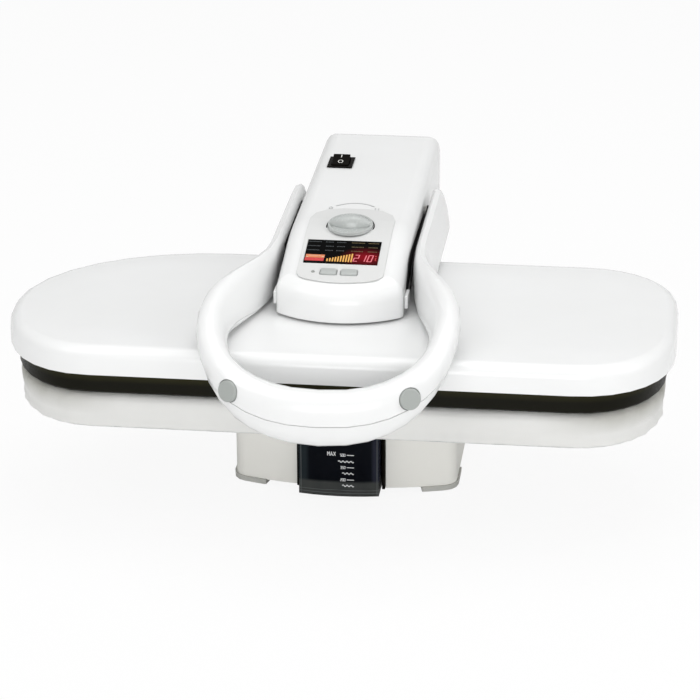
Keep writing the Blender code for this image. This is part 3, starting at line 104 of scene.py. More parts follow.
class Surface:
    """A procedural material: one Principled shader fed by textures in the object's own metres."""

    def __init__(self, name, colour, rough, **fixed):
        self.made = bpy.data.materials.new(name)
        self.made.use_nodes = True
        self.tree = self.made.node_tree
        self.shader = self.tree.nodes["Principled BSDF"]
        self.spot = self.add("ShaderNodeTexCoord").outputs["Object"]
        self.colour, self.rough, self.relief = colour, rough, None
        for socket, value in fixed.items():
            self.shader.inputs[socket.replace("_", " ")].default_value = value
        self.shader.inputs["Base Color"].default_value = (*colour, 1)
        self.shader.inputs["Roughness"].default_value = rough
        self.made.diffuse_color = (*colour, 1)

    def add(self, kind, **settings):
        node = self.tree.nodes.new(kind)
        for key, value in settings.items():
            setattr(node, key, value)
        return node

    def join(self, source, socket):
        self.tree.links.new(source, socket)

    def set(self, socket, value):
        if isinstance(value, bpy.types.NodeSocket):
            self.join(value, socket)
        else:
            socket.default_value = value

    def math(self, operation, first, second=0.0):
        node = self.add("ShaderNodeMath", operation=operation)
        for socket, value in zip(node.inputs, (first, second)):
            self.set(socket, value)
        return node.outputs[0]

    def grain(self, scale, detail=3.0, stretch=(1, 1, 1), kind="ShaderNodeTexNoise", output=0):
        """Noise whose patches measure about one over the scale, in metres."""
        node = self.add(kind)
        moved = self.add("ShaderNodeMapping")
        self.join(self.spot, moved.inputs["Vector"])
        moved.inputs["Scale"].default_value = stretch
        self.join(moved.outputs[0], node.inputs["Vector"])
        node.inputs["Scale"].default_value = scale
        if "Detail" in node.inputs:
            node.inputs["Detail"].default_value = detail
        return node.outputs[output]

    def span(self, fac, low, high, start=0.3, end=0.7):
        """A value that runs from low to high while the source runs from start to end."""
        node = self.add("ShaderNodeMapRange")
        for socket, value in zip(node.inputs, (fac, start, end, low, high)):
            self.set(socket, value)
        return node.outputs[0]

    def between(self, fac, first, second):
        """A colour that runs from the first to the second."""
        node = self.add("ShaderNodeMix", data_type="RGBA")
        self.set(node.inputs[0], fac)
        for socket, value in zip((node.inputs[6], node.inputs[7]), (first, second)):
            self.set(socket, value if isinstance(value, bpy.types.NodeSocket) else (*value, 1))
        return node.outputs[2]

    def tint(self, fac, spread=0.05, warm=(1, 1, 1)):
        """Slight colour variation round the surface's own colour."""
        low = tuple(c * (1 - spread) * w for c, w in zip(self.colour, warm))
        high = tuple(min(c * (1 + spread), 1) for c in self.colour)
        self.paint(self.between(fac, low, high))

    def paint(self, source):
        self.join(source, self.shader.inputs["Base Color"])

    def wear(self, fac, spread):
        """Slight variation round the surface's own roughness."""
        self.join(self.span(fac, self.rough * (1 - spread), self.rough * (1 + spread)),
                  self.shader.inputs["Roughness"])

    def bump(self, height, depth):
        """Fine relief, on top of the relief that is there already."""
        node = self.add("ShaderNodeBump")
        node.inputs["Distance"].default_value = depth
        self.join(height, node.inputs["Height"])
        if self.relief:
            self.join(self.relief, node.inputs["Normal"])
        self.relief = node.outputs[0]
        self.join(self.relief, self.shader.inputs["Normal"])

    def threads(self, pitch, axis):
        """One set of threads, as ridges across an axis."""
        apart = self.add("ShaderNodeSeparateXYZ")
        self.join(self.spot, apart.inputs[0])
        total = None
        for index, share in enumerate(axis):
            if share:
                part = self.math("MULTIPLY", apart.outputs[index], share * 2 * pi / pitch)
                total = part if total is None else self.math("ADD", total, part)
        return self.math("SINE", total)


def moulded(name, colour, rough, peel=0.00003, spark=0.0, spread=0.025, shine=0.5, **fixed):
    """Injection moulded plastic: faint flow mottling, slight waviness, fine spark grain."""
    made = Surface(name, colour, rough, Specular_IOR_Level=shine, **fixed)
    broad = made.grain(14, 4)
    made.tint(broad, spread, (1, 1, 0.995))
    fine = made.grain(420, 4)
    made.wear(fine, 0.1)
    made.bump(made.grain(70, 2), peel)
    if spark:
        made.bump(made.grain(1500, 5), spark)
    return made.made


def brushed(name, colour, rough, stretch):
    """Drawn or ground steel with fine lines along one way."""
    made = Surface(name, colour, rough, Metallic=1.0)
    lines = made.grain(900, 6, stretch)
    made.tint(lines, 0.12)
    made.wear(made.grain(60, 5), 0.35)
    made.bump(lines, 0.00004)
    return made.made


def galvanised(name, colour, rough):
    """Zinc coated sheet with its spangle."""
    made = Surface(name, colour, rough, Metallic=0.9)
    flakes = made.grain(160, 1, kind="ShaderNodeTexVoronoi", output=1)
    tone = made.add("ShaderNodeSeparateColor")
    made.join(flakes, tone.inputs[0])
    made.tint(tone.outputs[0], 0.14)
    made.join(made.span(tone.outputs[1], rough * 0.7, rough * 1.3, 0, 1),
              made.shader.inputs["Roughness"])
    made.bump(made.grain(500, 5), 0.00003)
    return made.made


def cast_coat(name, colour, rough):
    """Coated cast plate: fine cast grain under a non-stick coat, with painted shade darkening its
    top and bottom edges.
    """
    made = Surface(name, colour, rough, Metallic=0.1, Specular_IOR_Level=0.12)
    apart = made.add("ShaderNodeSeparateXYZ")
    made.join(made.spot, apart.inputs[0])
    low, high = (corner.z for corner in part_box("sole_plate"))
    middle = (low + high) / 2 - mm
    # Painted shade: the rounded side is painted darker towards its top and bottom edges and left
    # lighter in the middle.
    from_middle = made.math("ABSOLUTE", made.math("SUBTRACT", apart.outputs[2], middle))
    edge = made.span(from_middle, 0.0, 1.0, 4 * mm, 11 * mm)
    body = made.between(made.span(made.grain(9, 4), 0.0, 1.0), colour,
                        tuple(c * 1.5 for c in colour))
    made.paint(made.between(edge, body, tuple(c * 0.25 for c in colour)))
    made.wear(made.grain(600, 5), 0.3)
    made.bump(made.grain(900, 6), 0.00006)
    made.bump(made.grain(90, 3), 0.00004)
    return made.made


def cloth(name, colour, pitch):
    """Plain woven cotton: two sets of threads, slubs and sheen, with painted shade near the top of
    the board's ends, beside the hot plate.
    """
    made = Surface(name, colour, 0.85, Sheen_Weight=0.35, Sheen_Roughness=0.5,
                   Specular_IOR_Level=0.25)
    weft, warp = made.threads(pitch, (1, 0, 0.35)), made.threads(pitch, (0, 1, 1))
    cross = made.math("MULTIPLY", weft, warp)
    slub = made.grain(260, 4, (1, 0.12, 0.12))
    shade = made.between(made.span(cross, 0.0, 0.10, -1, 1), tuple(made.colour),
                         tuple(c * 0.8 for c in made.colour))
    mottled = made.between(made.span(made.grain(9, 5), 0.0, 0.5), shade,
                           tuple(min(c * 1.06, 1) for c in made.colour))
    # Painted shade: the upper band at the board's two ends, beside the plate, is darkened in
    # patches to a grey beige.
    apart = made.add("ShaderNodeSeparateXYZ")
    made.join(made.spot, apart.inputs[0])
    low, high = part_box("board_cover")
    middle, half = (low.x + high.x) / 2, (high.x - low.x) / 2
    away = made.math("ABSOLUTE", made.math("SUBTRACT", apart.outputs[0], middle))
    ends = made.span(away, 0.0, 1.0, half * 0.62, half * 0.96)
    upper = made.span(apart.outputs[2], 0.0, 1.0, low.z + 12 * mm, low.z + 31 * mm)
    shade_zone = made.math("MULTIPLY", ends, upper)
    painted_end_shade = made.math("MULTIPLY", shade_zone, made.span(made.grain(22, 4), 0.45, 0.95))
    made.paint(made.between(painted_end_shade, mottled, (0.23, 0.225, 0.17)))
    made.wear(slub, 0.1)
    made.bump(cross, 0.00012)
    made.bump(slub, 0.00008)
    made.bump(made.grain(70, 4), 0.0005)
    return made.made


def felted(name, colour):
    """Pressed needle felt: matted fibres in two scales."""
    made = Surface(name, colour, 0.95, Sheen_Weight=0.5, Sheen_Roughness=0.6,
                   Specular_IOR_Level=0.1)
    fibre = made.grain(1400, 8, (1, 0.3, 1))
    made.tint(made.grain(300, 8), 0.2, (1, 0.98, 0.94))
    made.wear(fibre, 0.04)
    made.bump(fibre, 0.0004)
    made.bump(made.grain(60, 4), 0.0008)
    return made.made


def rubbery(name, colour, rough):
    """Rubber or soft plastic with a fine matt grain."""
    made = Surface(name, colour, rough, Specular_IOR_Level=0.35)
    made.tint(made.grain(40, 5), 0.1)
    made.wear(made.grain(500, 5), 0.15)
    made.bump(made.grain(1800, 5), 0.00006)
    return made.made


def circuit(name, colour):
    """Solder resist over copper tracks, with pads."""
    made = Surface(name, colour, 0.35, Coat_Weight=0.4)
    tracks = made.grain(230, 0, kind="ShaderNodeTexVoronoi", output=0)
    line = made.span(tracks, 0, 1, 0.28, 0.34)
    made.paint(made.between(line, tuple(c * 1.8 + 0.01 for c in colour), colour))
    made.wear(made.grain(300, 3), 0.2)
    made.bump(line, 0.00005)
    return made.made


def lit(name, colour, strength):
    """A lit segment behind dark plastic, a little uneven."""
    made = Surface(name, (0.02, 0.02, 0.02), 0.25, Emission_Strength=strength)
    dim = tuple(c * 0.8 for c in colour)
    glow = made.between(made.span(made.grain(260, 2), 0, 1), dim, colour)
    made.join(glow, made.shader.inputs["Emission Color"])
    made.wear(made.grain(500, 3), 0.1)
    return made.made


def printed(name, colour):
    """Screen printed ink with a slightly uneven film."""
    made = Surface(name, colour, 0.45)
    made.tint(made.grain(700, 4), 0.08)
    made.wear(made.grain(900, 4), 0.2)
    made.bump(made.grain(1600, 3), 0.00002)
    return made.made


def window(name):
    """Dark display window, with the red glow of the figures spreading behind it."""
    made = Surface(name, (0.003, 0.003, 0.003), 0.14, Specular_IOR_Level=0.015,
                   Emission_Strength=1.0)
    centre = panel_seat + Vector((1, 0, 0)) * 21 * mm + panel_along * -58 * mm
    offset = made.add("ShaderNodeVectorMath", operation="SUBTRACT")
    made.join(made.spot, offset.inputs[0])
    offset.inputs[1].default_value = centre
    stretched = made.add("ShaderNodeVectorMath", operation="MULTIPLY")
    made.join(offset.outputs[0], stretched.inputs[0])
    stretched.inputs[1].default_value = (1, 1.35, 1)
    away = made.add("ShaderNodeVectorMath", operation="LENGTH")
    made.join(stretched.outputs[0], away.inputs[0])
    near = made.span(away.outputs["Value"], 1.0, 0.0, 5 * mm, 27 * mm)
    soft = made.math("POWER", near, 1.6)
    made.join(made.between(soft, (0, 0, 0), (0.24, 0.003, 0.010)),
              made.shader.inputs["Emission Color"])
    made.tint(made.grain(120, 3), 0.2)
    made.wear(made.grain(300, 3), 0.2)
    return made.made


def smoked(name):
    """Dark translucent tank plastic, with painted light where the walls and the wet floor would
    show through, and painted highlight lines along the pane's edges.
    """
    made = Surface(name, (0.004, 0.005, 0.008), 0.12, Specular_IOR_Level=0.03,
                   Transmission_Weight=0.04, IOR=1.49)
    apart = made.add("ShaderNodeSeparateXYZ")
    made.join(made.spot, apart.inputs[0])
    low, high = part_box("water_tank")
    across, upward = apart.outputs[0], apart.outputs[2]
    # Painted light: lighter bands where the tank's floor and side walls would show through the
    # pane.
    floor_band = made.span(upward, 1.0, 0.0, low.z + 14 * mm, low.z + 17 * mm)
    left_band = made.span(across, 1.0, 0.0, low.x + 7 * mm, low.x + 11 * mm)
    right_band = made.span(across, 0.0, 1.0, high.x - 8 * mm, high.x - 5 * mm)
    streak = made.grain(60, 4, (1, 1, 0.25))
    deep = made.between(streak, (0.0015, 0.002, 0.004), (0.004, 0.005, 0.008))
    floor_tone = made.between(streak, (0.036, 0.041, 0.041), (0.068, 0.070, 0.067))
    shown = made.between(left_band, deep, (0.016, 0.022, 0.026))
    shown = made.between(right_band, shown, (0.020, 0.022, 0.034))
    shown = made.between(floor_band, shown, floor_tone)
    # Painted highlights: thin light lines along the pane's inset edges.
    for along, line, width in ((upward, low.z + 3.4 * mm, 0.5 * mm),
                               (upward, low.z + 6.4 * mm, 0.4 * mm),
                               (across, low.x + 2.2 * mm, 0.5 * mm),
                               (across, high.x - 1.8 * mm, 0.5 * mm)):
        away = made.math("ABSOLUTE", made.math("SUBTRACT", along, line))
        near = made.span(away, 0.75, 0.0, width / 2, width)
        shown = made.between(near, shown, (0.13, 0.14, 0.14))
    made.paint(shown)
    made.wear(made.grain(200, 4), 0.3)
    made.bump(made.grain(50, 2), 0.00005)
    return made.made


paints = {
    "gloss_white": moulded("gloss_white_moulded", (0.805, 0.81, 0.81), 0.2, shine=0.4,
                           Coat_Weight=0.1, Coat_Roughness=0.08),
    "satin_white": moulded("satin_white_moulded", (0.93, 0.92, 0.875), 0.42, spark=0.00005),
    "light_grey": moulded("light_grey_moulded", (0.42, 0.44, 0.43), 0.38, spark=0.00002),
    "foot_grey": rubbery("foot_grey_rubber", (0.54, 0.54, 0.51), 0.6),
    "gloss_black": moulded("gloss_black_moulded", (0.006, 0.005, 0.004), 0.2, spread=0.2,
                           shine=0.02),
    "smoke": smoked("smoked_plastic"),
    "coated_metal": cast_coat("coated_cast_plate", (0.016, 0.0148, 0.0035), 0.42),
    "steel_finish": brushed("drawn_steel", (0.55, 0.56, 0.57), 0.3, (0.03, 1, 1)),
    "zinc_sheet": galvanised("zinc_sheet_spangled", (0.62, 0.63, 0.62), 0.42),
    "cloth_white": cloth("woven_cotton", (0.765, 0.765, 0.745), 1.0 * mm),
    "felt_grey": felted("needle_felt", (0.60, 0.58, 0.52)),
    "circuit_green": circuit("circuit_board", (0.02, 0.12, 0.06)),
    "lamp_clear": moulded("lamp_lens", (0.30, 0.32, 0.30), 0.2),
    "nylon": moulded("nylon_moulded", (0.75, 0.74, 0.68), 0.4, spark=0.00003),
    "rubber": rubbery("black_rubber", (0.02, 0.02, 0.02), 0.55),
}
# Black for the pieces that stand for shade in the gaps and round the dial.
shade_black = rubbery("painted_shade_black", (0.004, 0.004, 0.004), 0.8)
steam_key_paint = moulded("steam_key_grey", (0.355, 0.375, 0.36), 0.36, spark=0.00002)
own_paints = {
    "control_panel": moulded("panel_white", (0.68, 0.685, 0.68), 0.24, shine=0.4),
    "display_window": window("display_window_glow"),
    "steam_button_left": steam_key_paint,
    "steam_button_right": steam_key_paint,
    "steam_knob": moulded("dial_satin", (0.45, 0.47, 0.46), 0.26, shine=0.6),
}
slot_of = {part["node"]: part["material_slot"] for part in frame["record"]["subparts"]}


def new_object(name, mesh, paint, body):
    """A piece in the scene that rides on a body."""
    made = bpy.data.objects.new(name, mesh)
    scene.collection.objects.link(made)
    mesh.materials.clear()
    mesh.materials.append(paint)
    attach(made, body)
    return made


# Surfaces that thin pieces are set down on, kept for the next piece
surfaces = {}

# Edge rounding of the finished copy of each solid, in millimetres; others get the default
default_round = 0.4
rounds = {"arm_upper_shell": 0.5, "arm_lower_shell": 0.5, "plate_cover": 0.6, "base_housing": 0.8,
          "column_cover": 0.6, "handle_upper_shell": 0.35, "handle_lower_shell": 0.35,
          "control_panel": 0.25, "display_window": 0.15, "steam_knob": 0.5, "water_tank": 0.8,
          "tank_lid": 0.5, "sole_plate": 0.8, "tank_bezel": 0.5, "power_rocker": 0.4,
          "switch_housing": 0.4, "status_lamp": 0.2, "mode_button": 0.3, "set_button": 0.3}
soft_nodes = ("board_cover", "board_felt")

# Points closer than this are welded
weld_gap = 0.002 * mm
# How far faces may lean or lie apart and still count as one flat face, the most corners of a joined
# face, and the solids whose triangles all stay, because their flat faces are cut by slots
flat_angle, flat_gap, most_corners = radians(0.3), 0.02 * mm, 48
slotted = ("base_housing", "switch_housing")
# Most lean and skew of two triangles that pair up, and the least angle of an edge that is rounded
pair_lean, pair_skew, sharp_angle = radians(12), radians(60), radians(38)


def merged_flats(work):
    """Joins the triangles of each flat face, except where a flat face goes round a hole."""
    trial = work.copy()
    bmesh.ops.dissolve_limit(trial, angle_limit=flat_angle, verts=trial.verts, edges=trial.edges)
    holed = [(f.normal.copy(), f.normal.dot(f.verts[0].co)) for f in trial.faces
             if len({v.index for v in f.verts}) < len(f.verts) or len(f.verts) > most_corners]
    trial.free()
    kept = {f for f in work.faces
            if any(f.normal.dot(way) > cos(flat_angle) and
                   abs(way.dot(f.verts[0].co) - level) < flat_gap for way, level in holed)}
    bmesh.ops.dissolve_limit(work, angle_limit=flat_angle,
                             verts=[v for v in work.verts if not kept.intersection(v.link_faces)],
                             edges=[e for e in work.edges if not kept.intersection(e.link_faces)])


def finished(node):
    """A finished copy of a rigid solid: welded, with rounded edges and smooth faces."""
    source = frame["nodes"][node]
    mesh = source.data.copy()
    mesh.name = node + "_finish"
    for name in ("custom_normal", "sharp_edge", "sharp_face"):
        if name in mesh.attributes:
            mesh.attributes.remove(mesh.attributes[name])
    work = bmesh.new()
    work.from_mesh(mesh)
    bmesh.ops.remove_doubles(work, verts=work.verts, dist=weld_gap)
    work.normal_update()
    work.verts.index_update()
    if node not in slotted:
        merged_flats(work)
    bmesh.ops.join_triangles(work, faces=[f for f in work.faces if len(f.verts) == 3],
                             angle_face_threshold=pair_lean, angle_shape_threshold=pair_skew)
    work.to_mesh(mesh)
    work.free()
    mesh.shade_smooth()
    paint = own_paints.get(node) or paints[slot_of[node]]
    made = new_object(node + "_finish", mesh, paint, source["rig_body"])
    soften = made.modifiers.new("rounded_edges", "BEVEL")
    soften.width = rounds.get(node, default_round) * mm
    soften.segments = 2
    soften.limit_method = "ANGLE"
    soften.angle_limit = sharp_angle
    soften.use_clamp_overlap = True
    soften.miter_outer = "MITER_ARC"
    soften.harden_normals = False
    even = made.modifiers.new("even_shading", "WEIGHTED_NORMAL")
    even.keep_sharp = True
    even.weight = 50
    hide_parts(node)
    return made


# Rocker: its seat, how it leans at rest (the arm's slope and half its travel), the heights of its
# dip in the source and here, and the share of its rise that stays
rocker_seat = Vector((-32.7, 171.5, 259.754)) * mm
rocker_lean = radians(0.8 + 11)
rocker_source_dip, rocker_dip, rocker_rise_share = 1.7 * mm, 4.4 * mm, 0.125


def ray_surface(mesh):
    """A mesh's faces in a form that rays can be cast onto."""
    return BVHTree.FromPolygons([v.co.copy() for v in mesh.vertices],
                                [tuple(p.vertices) for p in mesh.polygons])


def level_rocker(piece):
    """Flatten the rocker's two faces to the shallow dip that the photograph shows."""
    seat = Matrix.Translation(rocker_seat) @ Matrix.Rotation(rocker_lean, 4, "X")
    for vert in piece.data.vertices:
        spot = seat.inverted() @ vert.co
        if spot.z > 0:
            spot.z = rocker_dip + (spot.z - rocker_source_dip) * rocker_rise_share
            vert.co = seat @ spot
    surfaces["power_rocker"] = ray_surface(piece.data)


def dial_shade_ring():
    """Dark ring at the dial's opening, painted shade standing for the shadow in the dial's well,
    which shows at the dial's two sides.
    """
    wide, long, inner, chamfer = 24.1 * mm, 23.3 * mm, 22.95 * mm, 0.2 * mm
    low, high, steps = 1.3 * mm, 1.75 * mm, 72
    work = bmesh.new()
    rings = []
    for reach_x, reach_y, lift in ((inner, inner, low), (inner, inner, high),
                                   (wide - chamfer, long - chamfer, high),
                                   (wide, long, (low + high) / 2), (wide, long, low)):
        rings.append([work.verts.new(panel_seat + Vector((reach_x * cos(2 * pi * k / steps), 0, 0))
                                     + panel_along * reach_y * sin(2 * pi * k / steps)
                                     + panel_up * lift) for k in range(steps)])
    for first, second in zip(rings, rings[1:] + rings[:1]):
        for k in range(steps):
            j = (k + 1) % steps
            work.faces.new((first[k], first[j], second[j], second[k]))
    bmesh.ops.recalc_face_normals(work, faces=work.faces)
    mesh = bpy.data.meshes.new("dial_shade_ring")
    work.to_mesh(mesh)
    work.free()
    mesh.shade_smooth()
    new_object("dial_shade_ring", mesh, shade_black, "head")


# Dark strips of painted shade in the gaps between the arm's sides and the handle's legs, in
# millimetres: the body, the side, the upper edge as places along and up, how deep the strip goes
# below that edge, its lowest height, and how far out its inner and outer faces lie
arm_edge = ((-92, 211), (-84, 216), (-76, 221.5), (-68, 229), (-56, 236.5), (-36, 240.5),
            (0, 240), (46, 237.5), (82, 235), (104, 231.5), (114, 226))
leg_edge = ((-66, 224), (-56, 230), (-40, 235.5), (-20, 238), (20, 238.6), (60, 239.6),
            (104, 240.4), (113, 237))
gap_shades = (("slot_lining_right", "head", 1, arm_edge, 22, 204, 62.05, 62.4),
           ("slot_lining_left", "head", -1, arm_edge, 22, 204, 62.05, 62.4),
           ("leg_lining_right", "handle", 1, leg_edge, 11, 204, 64.7, 65.6),
           ("leg_lining_left", "handle", -1, leg_edge[3:], 6, 204, 64.7, 65.6))


def side_strip(name, body, side, edge, depth, floor, inner, outer):
    """Thin dark strip of painted shade that follows an edge along one side of the arm or of a leg.
    """
    work = bmesh.new()
    sheets = [[[work.verts.new(Vector((side * reach, y, z)) * mm)
                for z in (max(top - depth, floor), top)] for y, top in edge]
              for reach in (inner, outer)]
    for rows in sheets:
        for a, b in zip(rows, rows[1:]):
            work.faces.new((a[0], b[0], b[1], a[1]))
    near, far = ([r[1] for r in rows] + [r[0] for r in rows[::-1]] for rows in sheets)
    for k in range(len(near)):
        j = (k + 1) % len(near)
        work.faces.new((near[k], near[j], far[j], far[k]))
    bmesh.ops.recalc_face_normals(work, faces=work.faces)
    mesh = bpy.data.meshes.new(name)
    work.to_mesh(mesh)
    work.free()
    new_object(name, mesh, shade_black, body)


def carry_over():
    """Finished copies of all rigid solids, and the thin dark pieces of painted shade between them.
    """
    for node in sorted(frame["nodes"]):
        if node not in soft_nodes:
            piece = finished(node)
            if node == "power_rocker":
                level_rocker(piece)
    dial_shade_ring()
    for name, body, side, *sizes in gap_shades:
        side_strip(name, body, side, *sizes)


def plate_outline(inset):
    """Plan of the plate and the board, drawn in by an inset."""
    points = []
    for k, ((run, depth), (across, along), power) in enumerate(corners):
        run, depth = run * mm, depth * mm
        x = across * (plate_half - run)
        y = plate_front + depth if along < 0 else plate_back - depth
        for step in range(outline_steps + 1):
            angle = pi / 2 * (step / outline_steps + (k + 2) % 4)
            c, s = cos(angle), sin(angle)
            reach_x = (run - inset) * abs(c) ** (2 / power) * (1 if c >= 0 else -1)
            reach_y = (depth - inset) * abs(s) ** (2 / power) * (1 if s >= 0 else -1)
            points.append(Vector((x + reach_x, y + reach_y, 0)))
    return points


def ring_solid(name, profile):
    """Closed form of plan rings, each with an inset and a height, from below up."""
    work = bmesh.new()
    rings = []
    for inset, height in profile:
        rings.append([work.verts.new(p + Vector((0, 0, height))) for p in plate_outline(inset)])
    for low, high in zip(rings, rings[1:]):
        for i in range(len(low)):
            j = (i + 1) % len(low)
            work.faces.new((low[i], low[j], high[j], high[i]))
    work.faces.new(rings[0][::-1])
    work.faces.new(rings[-1])
    mesh = bpy.data.meshes.new(name)
    work.to_mesh(mesh)
    work.free()
    return mesh


cloth_frames = 20


def settled(mesh, name, voxel, pressure, reach, pin_below, shrink):
    """Remesh a form evenly, let it swell or pull in as cloth, and cap how far each point goes."""
    made = bpy.data.objects.new(name, mesh)
    scene.collection.objects.link(made)
    remesh = made.modifiers.new("even", "REMESH")
    remesh.mode = "VOXEL"
    remesh.voxel_size = voxel
    flat = bpy.data.meshes.new_from_object(made.evaluated_get(
        bpy.context.evaluated_depsgraph_get()))
    made.modifiers.clear()
    made.data = flat
    group = made.vertex_groups.new(name="held")
    group.add([v.index for v in flat.vertices if v.co.z < pin_below], 1.0, "REPLACE")
    cloth = made.modifiers.new("cloth", "CLOTH")
    cloth.settings.quality = 5
    cloth.settings.mass = 0.25
    cloth.settings.tension_stiffness = 12
    cloth.settings.compression_stiffness = 8
    cloth.settings.bending_stiffness = 1.5
    cloth.settings.use_pressure = True
    cloth.settings.uniform_pressure_force = pressure
    cloth.settings.shrink_min = shrink
    cloth.settings.vertex_group_mass = "held"
    cloth.settings.effector_weights.gravity = 0
    cloth.collision_settings.use_collision = False
    cloth.collision_settings.use_self_collision = False
    cloth.point_cache.frame_end = cloth_frames
    start = np.array([v.co for v in flat.vertices])
    for step in range(1, cloth_frames + 1):
        scene.frame_set(step)
    result = bpy.data.meshes.new_from_object(made.evaluated_get(
        bpy.context.evaluated_depsgraph_get()))
    made.modifiers.clear()
    end = np.array([v.co for v in result.vertices])
    move = end - start
    far = np.linalg.norm(move, axis=1)
    move *= np.minimum(1, reach / np.maximum(far, 1e-9))[:, None]
    made.data = result
    result.vertices.foreach_set("co", (start + move).ravel())
    scene.frame_set(1)
    result = made.data
    bpy.data.objects.remove(made)
    return result


def board():
    """Felt pad and the drawn cotton cover of the board."""
    top, hem_low, bulge = 145.3 * mm, 110.3 * mm, 136 * mm
    pad = ring_solid("board_pad", [(16 * mm, 117.8 * mm), (14 * mm, 120.5 * mm),
                                   (14 * mm, 131 * mm), (17 * mm, 138 * mm), (34 * mm, 141 * mm)])
    pad = settled(pad, "pad_form", 6 * mm, 3.0, 1.2 * mm, 118 * mm, 0.0)
    low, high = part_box("board_felt")
    for vert in pad.vertices:
        vert.co.z = min(max(vert.co.z, low.z), high.z)
    pad.shade_smooth()
    piece = new_object("board_pad", pad, paints["felt_grey"], "base")
    smoother = piece.modifiers.new("soft", "SUBSURF")
    smoother.levels = smoother.render_levels = 1
    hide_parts("board_felt")

    form = ring_solid("board_cloth", [
        (board_inset + 3.5 * mm, hem_low - 3 * mm), (board_inset + 3.5 * mm, 119.5 * mm),
        (board_inset + 1.0 * mm, 128.8 * mm), (board_inset, bulge),
        (board_inset + 0.8 * mm, 140 * mm), (board_inset + 2.6 * mm, 142.2 * mm),
        (board_inset + 6 * mm, 143.9 * mm), (board_inset + 14 * mm, 144.9 * mm),
        (board_inset + 36 * mm, top - 0.1 * mm)])
    form = settled(form, "cloth_form", 4.5 * mm, 2.5, 1.6 * mm, hem_low + 5 * mm, 0.01)
    work = bmesh.new()
    work.from_mesh(form)
    bmesh.ops.delete(work, geom=[f for f in work.faces
                                 if f.calc_center_median().z < hem_low], context="FACES")
    bmesh.ops.delete(work, geom=[v for v in work.verts if not v.link_faces], context="VERTS")
    work.normal_update()
    # Gathers round the hem, in folds per radian times a full turn, and slack on the flat top
    fold_rate, fold_depth, slack_depth, gathered = 88.4, 1.1 * mm, 0.28 * mm, 24 * mm
    middle = (plate_front + plate_back) / 2
    moved = []
    for vert in work.verts:
        side = 1 - abs(vert.normal.z)
        low_share = min(max((bulge - vert.co.z) / gathered, 0), 1)
        around = atan2(vert.co.y - middle, vert.co.x) * fold_rate
        drift = noise.noise(vert.co * 9) * 4.4
        gather = sin(around + drift) * 0.55 + noise.noise(vert.co * 42) * 1.1
        slack = noise.noise(vert.co * 18) - 0.55
        push = side * low_share * gather * fold_depth + slack * slack_depth * (1 - side)
        moved.append((vert, vert.normal * push))
    for vert, push in moved:
        vert.co += push
        vert.co.z = min(vert.co.z, top - 0.12 * mm)
    work.to_mesh(form)
    work.free()
    form.shade_smooth()
    piece = new_object("board_cloth", form, paints["cloth_white"], "base")
    wall = piece.modifiers.new("cloth_thickness", "SOLIDIFY")
    wall.thickness = 1.1 * mm
    wall.offset = -1
    smoother = piece.modifiers.new("soft", "SUBSURF")
    smoother.levels = smoother.render_levels = 1
    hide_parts("board_cover")


def landing(node):
    """The solid of a node, to set thin pieces down on."""
    if node not in surfaces:
        surfaces[node] = ray_surface(frame["nodes"][node].data)
    return surfaces[node]


def set_down(node, spot, way, lift):
    """Where a ray through a spot meets the node, raised off it by the lift."""
    hit = landing(node).ray_cast(spot - way * 0.08, way)[0]
    return (hit if hit else spot) - way * lift


def ribbon(path, width, closed=False):
    """Pairs of points beside a flat line, mitred at its bends."""
    count = len(path)
    pairs = []
    for k, (u, v) in enumerate(path):
        before = path[(k - 1) % count] if closed or k else None
        after = path[(k + 1) % count] if closed or k < count - 1 else None
        ways = []
        for first, second in ((before, (u, v)), ((u, v), after)):
            if first and second:
                du, dv = second[0] - first[0], second[1] - first[1]
                long = hypot(du, dv) or 1
                ways.append((du / long, dv / long))
        du = sum(w[0] for w in ways)
        dv = sum(w[1] for w in ways)
        long = hypot(du, dv) or 1
        du, dv = du / long, dv / long
        cut = max(abs(du * ways[0][0] + dv * ways[0][1]), 0.45)
        half = width / 2 / cut
        pairs.append(((u - dv * half, v + du * half), (u + dv * half, v - du * half)))
    return pairs


def marks(name, strokes, node, place, way, paint, body, lift=0.06, height=0.0):
    """Thin printed or raised marks: each stroke is a path and a width in millimetres, and whether
    the path is closed."""
    work = bmesh.new()
    for path, width, closed in strokes:
        layers = []
        for level in (lift, lift + height) if height else (lift,):
            layers.append([[work.verts.new(set_down(node, place(u, v), way, level * mm))
                            for u, v in pair] for pair in ribbon(path, width, closed)])
        top = layers[-1]
        count = len(top)
        for k in range(count if closed else count - 1):
            j = (k + 1) % count
            work.faces.new((top[k][1], top[j][1], top[j][0], top[k][0]))
            if height:
                low = layers[0]
                work.faces.new((top[k][0], top[j][0], low[j][0], low[k][0]))
                work.faces.new((low[k][1], low[j][1], top[j][1], top[k][1]))
    bmesh.ops.recalc_face_normals(work, faces=work.faces)
    if work.faces and sum((f.normal for f in work.faces), Vector()).dot(way) > 0:
        bmesh.ops.reverse_faces(work, faces=work.faces)
    mesh = bpy.data.meshes.new(name)
    work.to_mesh(mesh)
    work.free()
    return new_object(name, mesh, paint, body)


